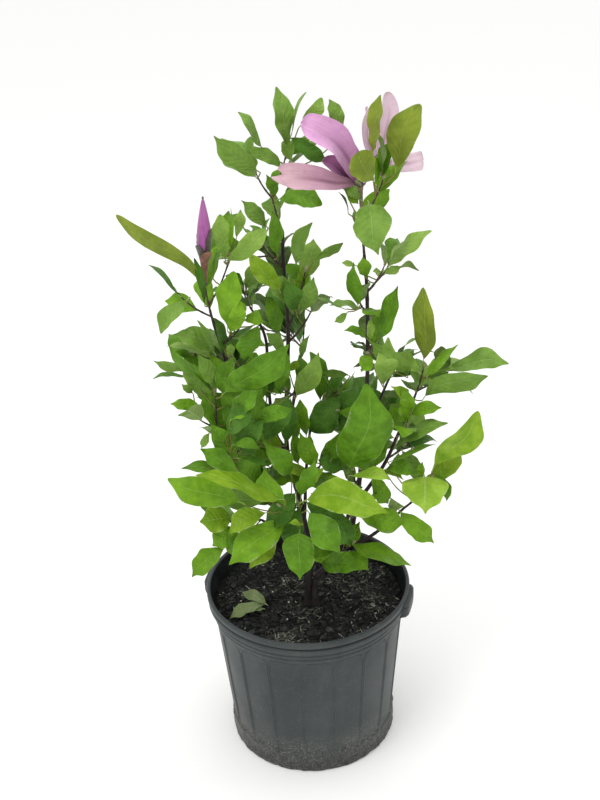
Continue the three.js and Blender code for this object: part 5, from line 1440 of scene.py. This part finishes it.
def panel_relief(offset, height):
    """How far the wall stands out beside a rib: a fine line round each sunk panel with an arched top."""
    across = PANEL_HALF - (PANEL_PITCH / 2 - offset)
    above = height - (PANEL_TOP - PANEL_ROUND)
    inside = PANEL_ROUND - math.hypot(max(PANEL_ROUND - across, 0.0), above) if above > 0 else across
    foot = min(1.0, max(0.0, (height - FOOT_BAND_TOP - 1) / 5))
    line = PANEL_LINE * math.exp(-(inside / PANEL_LINE_HALF) ** 2)
    return (line - PANEL_DEPTH * min(1.0, max(0.0, (inside - 0.4) / 0.8))) * foot


def add_pot(sheet):
    profile = pot_profile()
    offsets = sorted({sign * value for value in RIB_STOPS for sign in (-1, 1)} - {RIB_STOPS[-1]})
    columns = [(abs(offset), math.radians(FLUTE_TURN + (flute + offset / PANEL_PITCH) * 360 / FLUTES))
               for flute in range(FLUTES) for offset in offsets]
    points, flat, inner = [], [], None
    for row, (radius, height) in enumerate(profile):
        fluted = (FOOT_BAND_TOP < height < COLLAR_BOTTOM - 0.7 and radius > WALL_FOOT_RADIUS - 0.1
                  and FOOT_ROWS < row < len(profile) - FOOT_ROWS)
        muddy = row < FOOT_ROWS and radius > UNDERSIDE_RADIUS - 1
        if inner is None and height > POT_HEIGHT - 4 and radius < MOUTH_RADIUS:
            inner = row
        for column, (offset, angle) in enumerate(columns):
            reach = radius + (panel_relief(offset, height) if fluted else 0.0)
            if muddy:
                spot = Vector((*on_circle(9, angle), height * 0.16))
                reach += DIRT_RELIEF * noise.fractal(spot, 0.8, 2.0, 4)
            points.append((*on_circle(reach, angle), height))
            flat.append((row / len(profile), column / len(columns)))
    kinds = [1 if row >= inner else 0 for row in range(len(profile) - 1) for _ in columns]
    sheet.add(points, grid_faces(len(profile), len(columns), closed=True), flat, kinds)


def add_handle(sheet, turn):
    """Finger grip: a rounded ledge with a short web under it."""
    half = math.radians(HANDLE_SPREAD / 2)
    section = [
        (HANDLE_ROOT, HANDLE_BOTTOM), (HANDLE_REACH - 2.2, HANDLE_BOTTOM + 0.4),
        (HANDLE_REACH - 0.5, HANDLE_BOTTOM + 2), (HANDLE_REACH, HANDLE_BOTTOM + 5),
        (HANDLE_REACH, HANDLE_TOP - 3), (HANDLE_REACH - 0.8, HANDLE_TOP - 0.8),
        (HANDLE_REACH - 2.4, HANDLE_TOP), (HANDLE_ROOT + 1.5, HANDLE_TOP),
    ]
    points = []
    for step in range(HANDLE_STEPS + 1):
        share = step / HANDLE_STEPS
        bulge = min(1.0, min(share, 1 - share) * 9) ** 0.5
        for radius, height in section:
            reach = mix(HANDLE_ROOT, radius, 0.25 + 0.75 * bulge)
            points.append((*on_circle(reach, turn + mix(-half, half, share)), height))
    ends = tuple(range(len(section)))
    faces = grid_faces(HANDLE_STEPS + 1, len(section), flip=True)
    faces += [ends[::-1], tuple(HANDLE_STEPS * len(section) + index for index in ends)]
    sheet.add(points, faces)


sheet = Sheet()
add_pot(sheet)
for turn in HANDLE_TURNS:
    add_handle(sheet, math.radians(turn))
sheet.piece("pot_shell", [pot_paint(), inner_pot_paint()], "pot_plastic", ["pot"])


# Soil

def soil_point(x, y, lift=0.0):
    """Point on the uneven top of the soil, which is a little lower toward the wall."""
    dip = SOIL_DIP * np.clip((math.hypot(x, y) / SOIL_DIP_REACH - 0.5) / 0.5, 0, 1)
    rough = noise.fractal(Vector((x * SOIL_WAVES, y * SOIL_WAVES, 0.3)), 0.9, 2.0, 5) * SOIL_RELIEF
    return x, y, SOIL_TOP + 0.5 - dip + rough + lift


def add_soil(sheet):
    points = [soil_point(0, 0)]
    for ring in range(1, SOIL_RINGS + 1):
        for step in range(SOIL_SIDES):
            angle = 2 * math.pi * step / SOIL_SIDES
            points.append(soil_point(*on_circle(SOIL_RADIUS * ring / SOIL_RINGS, angle)))
    faces = [(0, 1 + step, 1 + (step + 1) % SOIL_SIDES) for step in range(SOIL_SIDES)]
    faces += [tuple(index + 1 for index in face[::-1])
              for face in grid_faces(SOIL_RINGS, SOIL_SIDES, closed=True)]
    sheet.add(points, faces)


def add_chips(sheet):
    """Crumbs of all sizes, and long slivers that lie in loose heaps."""
    roll = dice(CHIP_SEED)
    heaps = [on_disc(roll, HEAP_REACH) for _ in range(HEAP_COUNT)]
    last = len(CHIP_CORNERS) - CHIP_SIDES
    faces = grid_faces(len(CHIP_CORNERS) // CHIP_SIDES, CHIP_SIDES, closed=True)
    faces += [(3, 2, 1, 0), (last, last + 1, last + 2, last + 3)]
    for number in range(CHIP_COUNT):
        sliver = number % 10 < 3
        x, y = on_disc(roll, CHIP_REACH)
        if sliver and roll() < HEAP_SHARE:
            x, y = heaps[int(roll() * HEAP_COUNT) % HEAP_COUNT]
            x = x + scatter(roll, HEAP_LENGTH) + scatter(roll, HEAP_LENGTH)
            y = y + scatter(roll, HEAP_WIDTH) + scatter(roll, HEAP_WIDTH)
        if sliver:
            length, width, thick, tilt, lift = draw(roll, 5, 16, 2.2), draw(roll, 0.7, 1.3, 2), 0.5, 0.7, 1.2
        else:
            length = draw(roll, 2.4, 9.5, 2.2)
            width, thick, tilt, lift = length * draw(roll, 0.35, 0.5), draw(roll, 0.8, 2.2), 1.3, 0.5
        turn = Matrix.Rotation(FULL_TURN * roll(), 3, "Z") @ Matrix.Rotation(scatter(roll, tilt), 3, "Y")
        turn = turn @ Matrix.Rotation(scatter(roll, 1.2), 3, "X")
        kind = 2 + int(3 * roll() ** 2) % 3 if sliver else int(roll() * 2.4) % 3
        bend = scatter(roll, 0.5) * length if sliver else 0.0
        x, y, z = soil_point(x, y, lift)
        corners = []
        for cx, cy, cz in CHIP_CORNERS:
            sway = bend * (0.25 - (cx / 2) ** 2)
            corner = turn @ Vector((cx * length / 2, cy * width / 2 + sway, cz * thick / 2))
            corners.append((x + corner.x, y + corner.y, z + corner.z))
        if max(math.hypot(*corner[:2]) for corner in corners) <= CHIP_LIMIT:
            sheet.add(corners, faces, kind=kind)


def add_specks(sheet):
    roll = dice(SPECK_SEED)
    for _ in range(SPECK_COUNT):
        x, y = on_disc(roll, SPECK_REACH)
        size = draw(roll, 0.6, 0.9)
        centre = np.array(soil_point(x, y, 1.2))
        line = [centre + (0, 0, size * part) for part in (-1, -0.5, 0.5, 1)]
        add_tube(sheet, line, [size * 0.4, size, size * 0.9, size * 0.3], 6, 0, 0.2, x)


def add_fallen(sheet):
    roll = dice(FALLEN_SEED)
    for root, tip, width in FALLEN:
        add_leaf(sheet, dict(root=np.array(soil_point(*root, 4.0)), tip=np.array(soil_point(*tip, 5.0)),
                             width=width, face=np.array((0.1, -0.2, 1.0)), arch=0.06, bow=0.05), roll)


# Chips: dark and light colour of each kind, from crumbs to dry slivers
CHIP_COLOURS = (("0c0d0d", "1f2120"), ("171918", "2e302d"), ("292b28", "474842"), ("46463e", "6c6b60"),
                ("77766a", "a3a296"))
soil_paint = grainy_paint("soil_bed", "121210", "0b0b09", "242420", (190.0, 6.0, 0.7),
                          ((240.0, 6.0, 0.75), 1.0, 2.5), (0.95, 0.2))
chip_paints = [
    grainy_paint(f"bark_chip_{number}", dark, dark, light, (260.0, 4.0, 0.6), ((400.0, 4.0), 0.6, 0.5),
                 (0.85, 0.3))
    for number, (dark, light) in enumerate(CHIP_COLOURS)
]
speck_paint = grainy_paint("speck", "d9d5cc", "c9c4b8", "ece9e2", (500.0,), looks=(0.9,))
fallen_paints = leaf_paints("fallen_leaf", "7c8b5c", "66744a", "a3ae84", "8d9a72", "798561", "a9b48e")
for add, name, paints, *rest in (
        (add_soil, "soil_bed", [soil_paint], "soil", ["soil"]),
        (add_chips, "bark_chips", chip_paints, "soil", (), False),
        (add_specks, "soil_specks", [speck_paint], "soil"),
        (add_fallen, "fallen_leaves", fallen_paints, "foliage_mid")):
    sheet = Sheet()
    add(sheet)
    sheet.piece(name, paints, *rest)


# Studio and camera

def build_floor():
    mesh = bpy.data.meshes.new("floor")
    corners = [(-1, -1), (1, -1), (1, 1), (-1, 1)]
    mesh.from_pydata([(x * FLOOR_REACH, y * FLOOR_REACH, FLOOR_DROP) for x, y in corners], [], [(0, 1, 2, 3)])
    mesh.materials.append(Paint("floor", "fcfcfb", 0.9, 0.1).material)
    floor = put("floor", mesh)


def add_light(name, place, size, power, colour=(1, 1, 1)):
    light = bpy.data.lights.new(name, "AREA")
    light.shape, light.size, light.energy, light.color = "DISK", size, power, colour
    lamp = put(name, light)
    lamp.location = place
    lamp.rotation_mode = "QUATERNION"
    lamp.rotation_quaternion = (LIGHT_TARGET - Vector(place)).to_track_quat("-Z", "Y")


def build_camera():
    data = bpy.data.cameras.new("camera")
    data.sensor_width = SENSOR
    data.lens = FOCAL_PIXELS / FRAME_HEIGHT * SENSOR
    camera = put("camera", data)
    forward = (CAMERA_TARGET - CAMERA_PLACE).normalized()
    level = Vector((1.0, 0.0, 0.0))
    up = level.cross(forward)
    right = level * math.cos(CAMERA_ROLL) + up * math.sin(CAMERA_ROLL)
    up = up * math.cos(CAMERA_ROLL) - level * math.sin(CAMERA_ROLL)
    turn = Matrix((right, up, -forward)).transposed()
    camera.matrix_world = Matrix.Translation(CAMERA_PLACE) @ turn.to_4x4()
    bpy.context.scene.camera = camera


build_floor()
add_light("key", (-0.9, -1.0, 2.5), 1.2, 19, (1.0, 0.99, 0.97))
add_light("top", (0.3, 0.3, 2.6), 1.2, 9)
world = bpy.data.worlds.new("studio")
world.use_nodes = True
world.node_tree.nodes["Background"].inputs["Color"].default_value = (1.0, 1.0, 1.0, 1.0)
world.node_tree.nodes["Background"].inputs["Strength"].default_value = 1.0
bpy.context.scene.world = world
bpy.context.scene.view_settings.view_transform = "Standard"
build_camera()
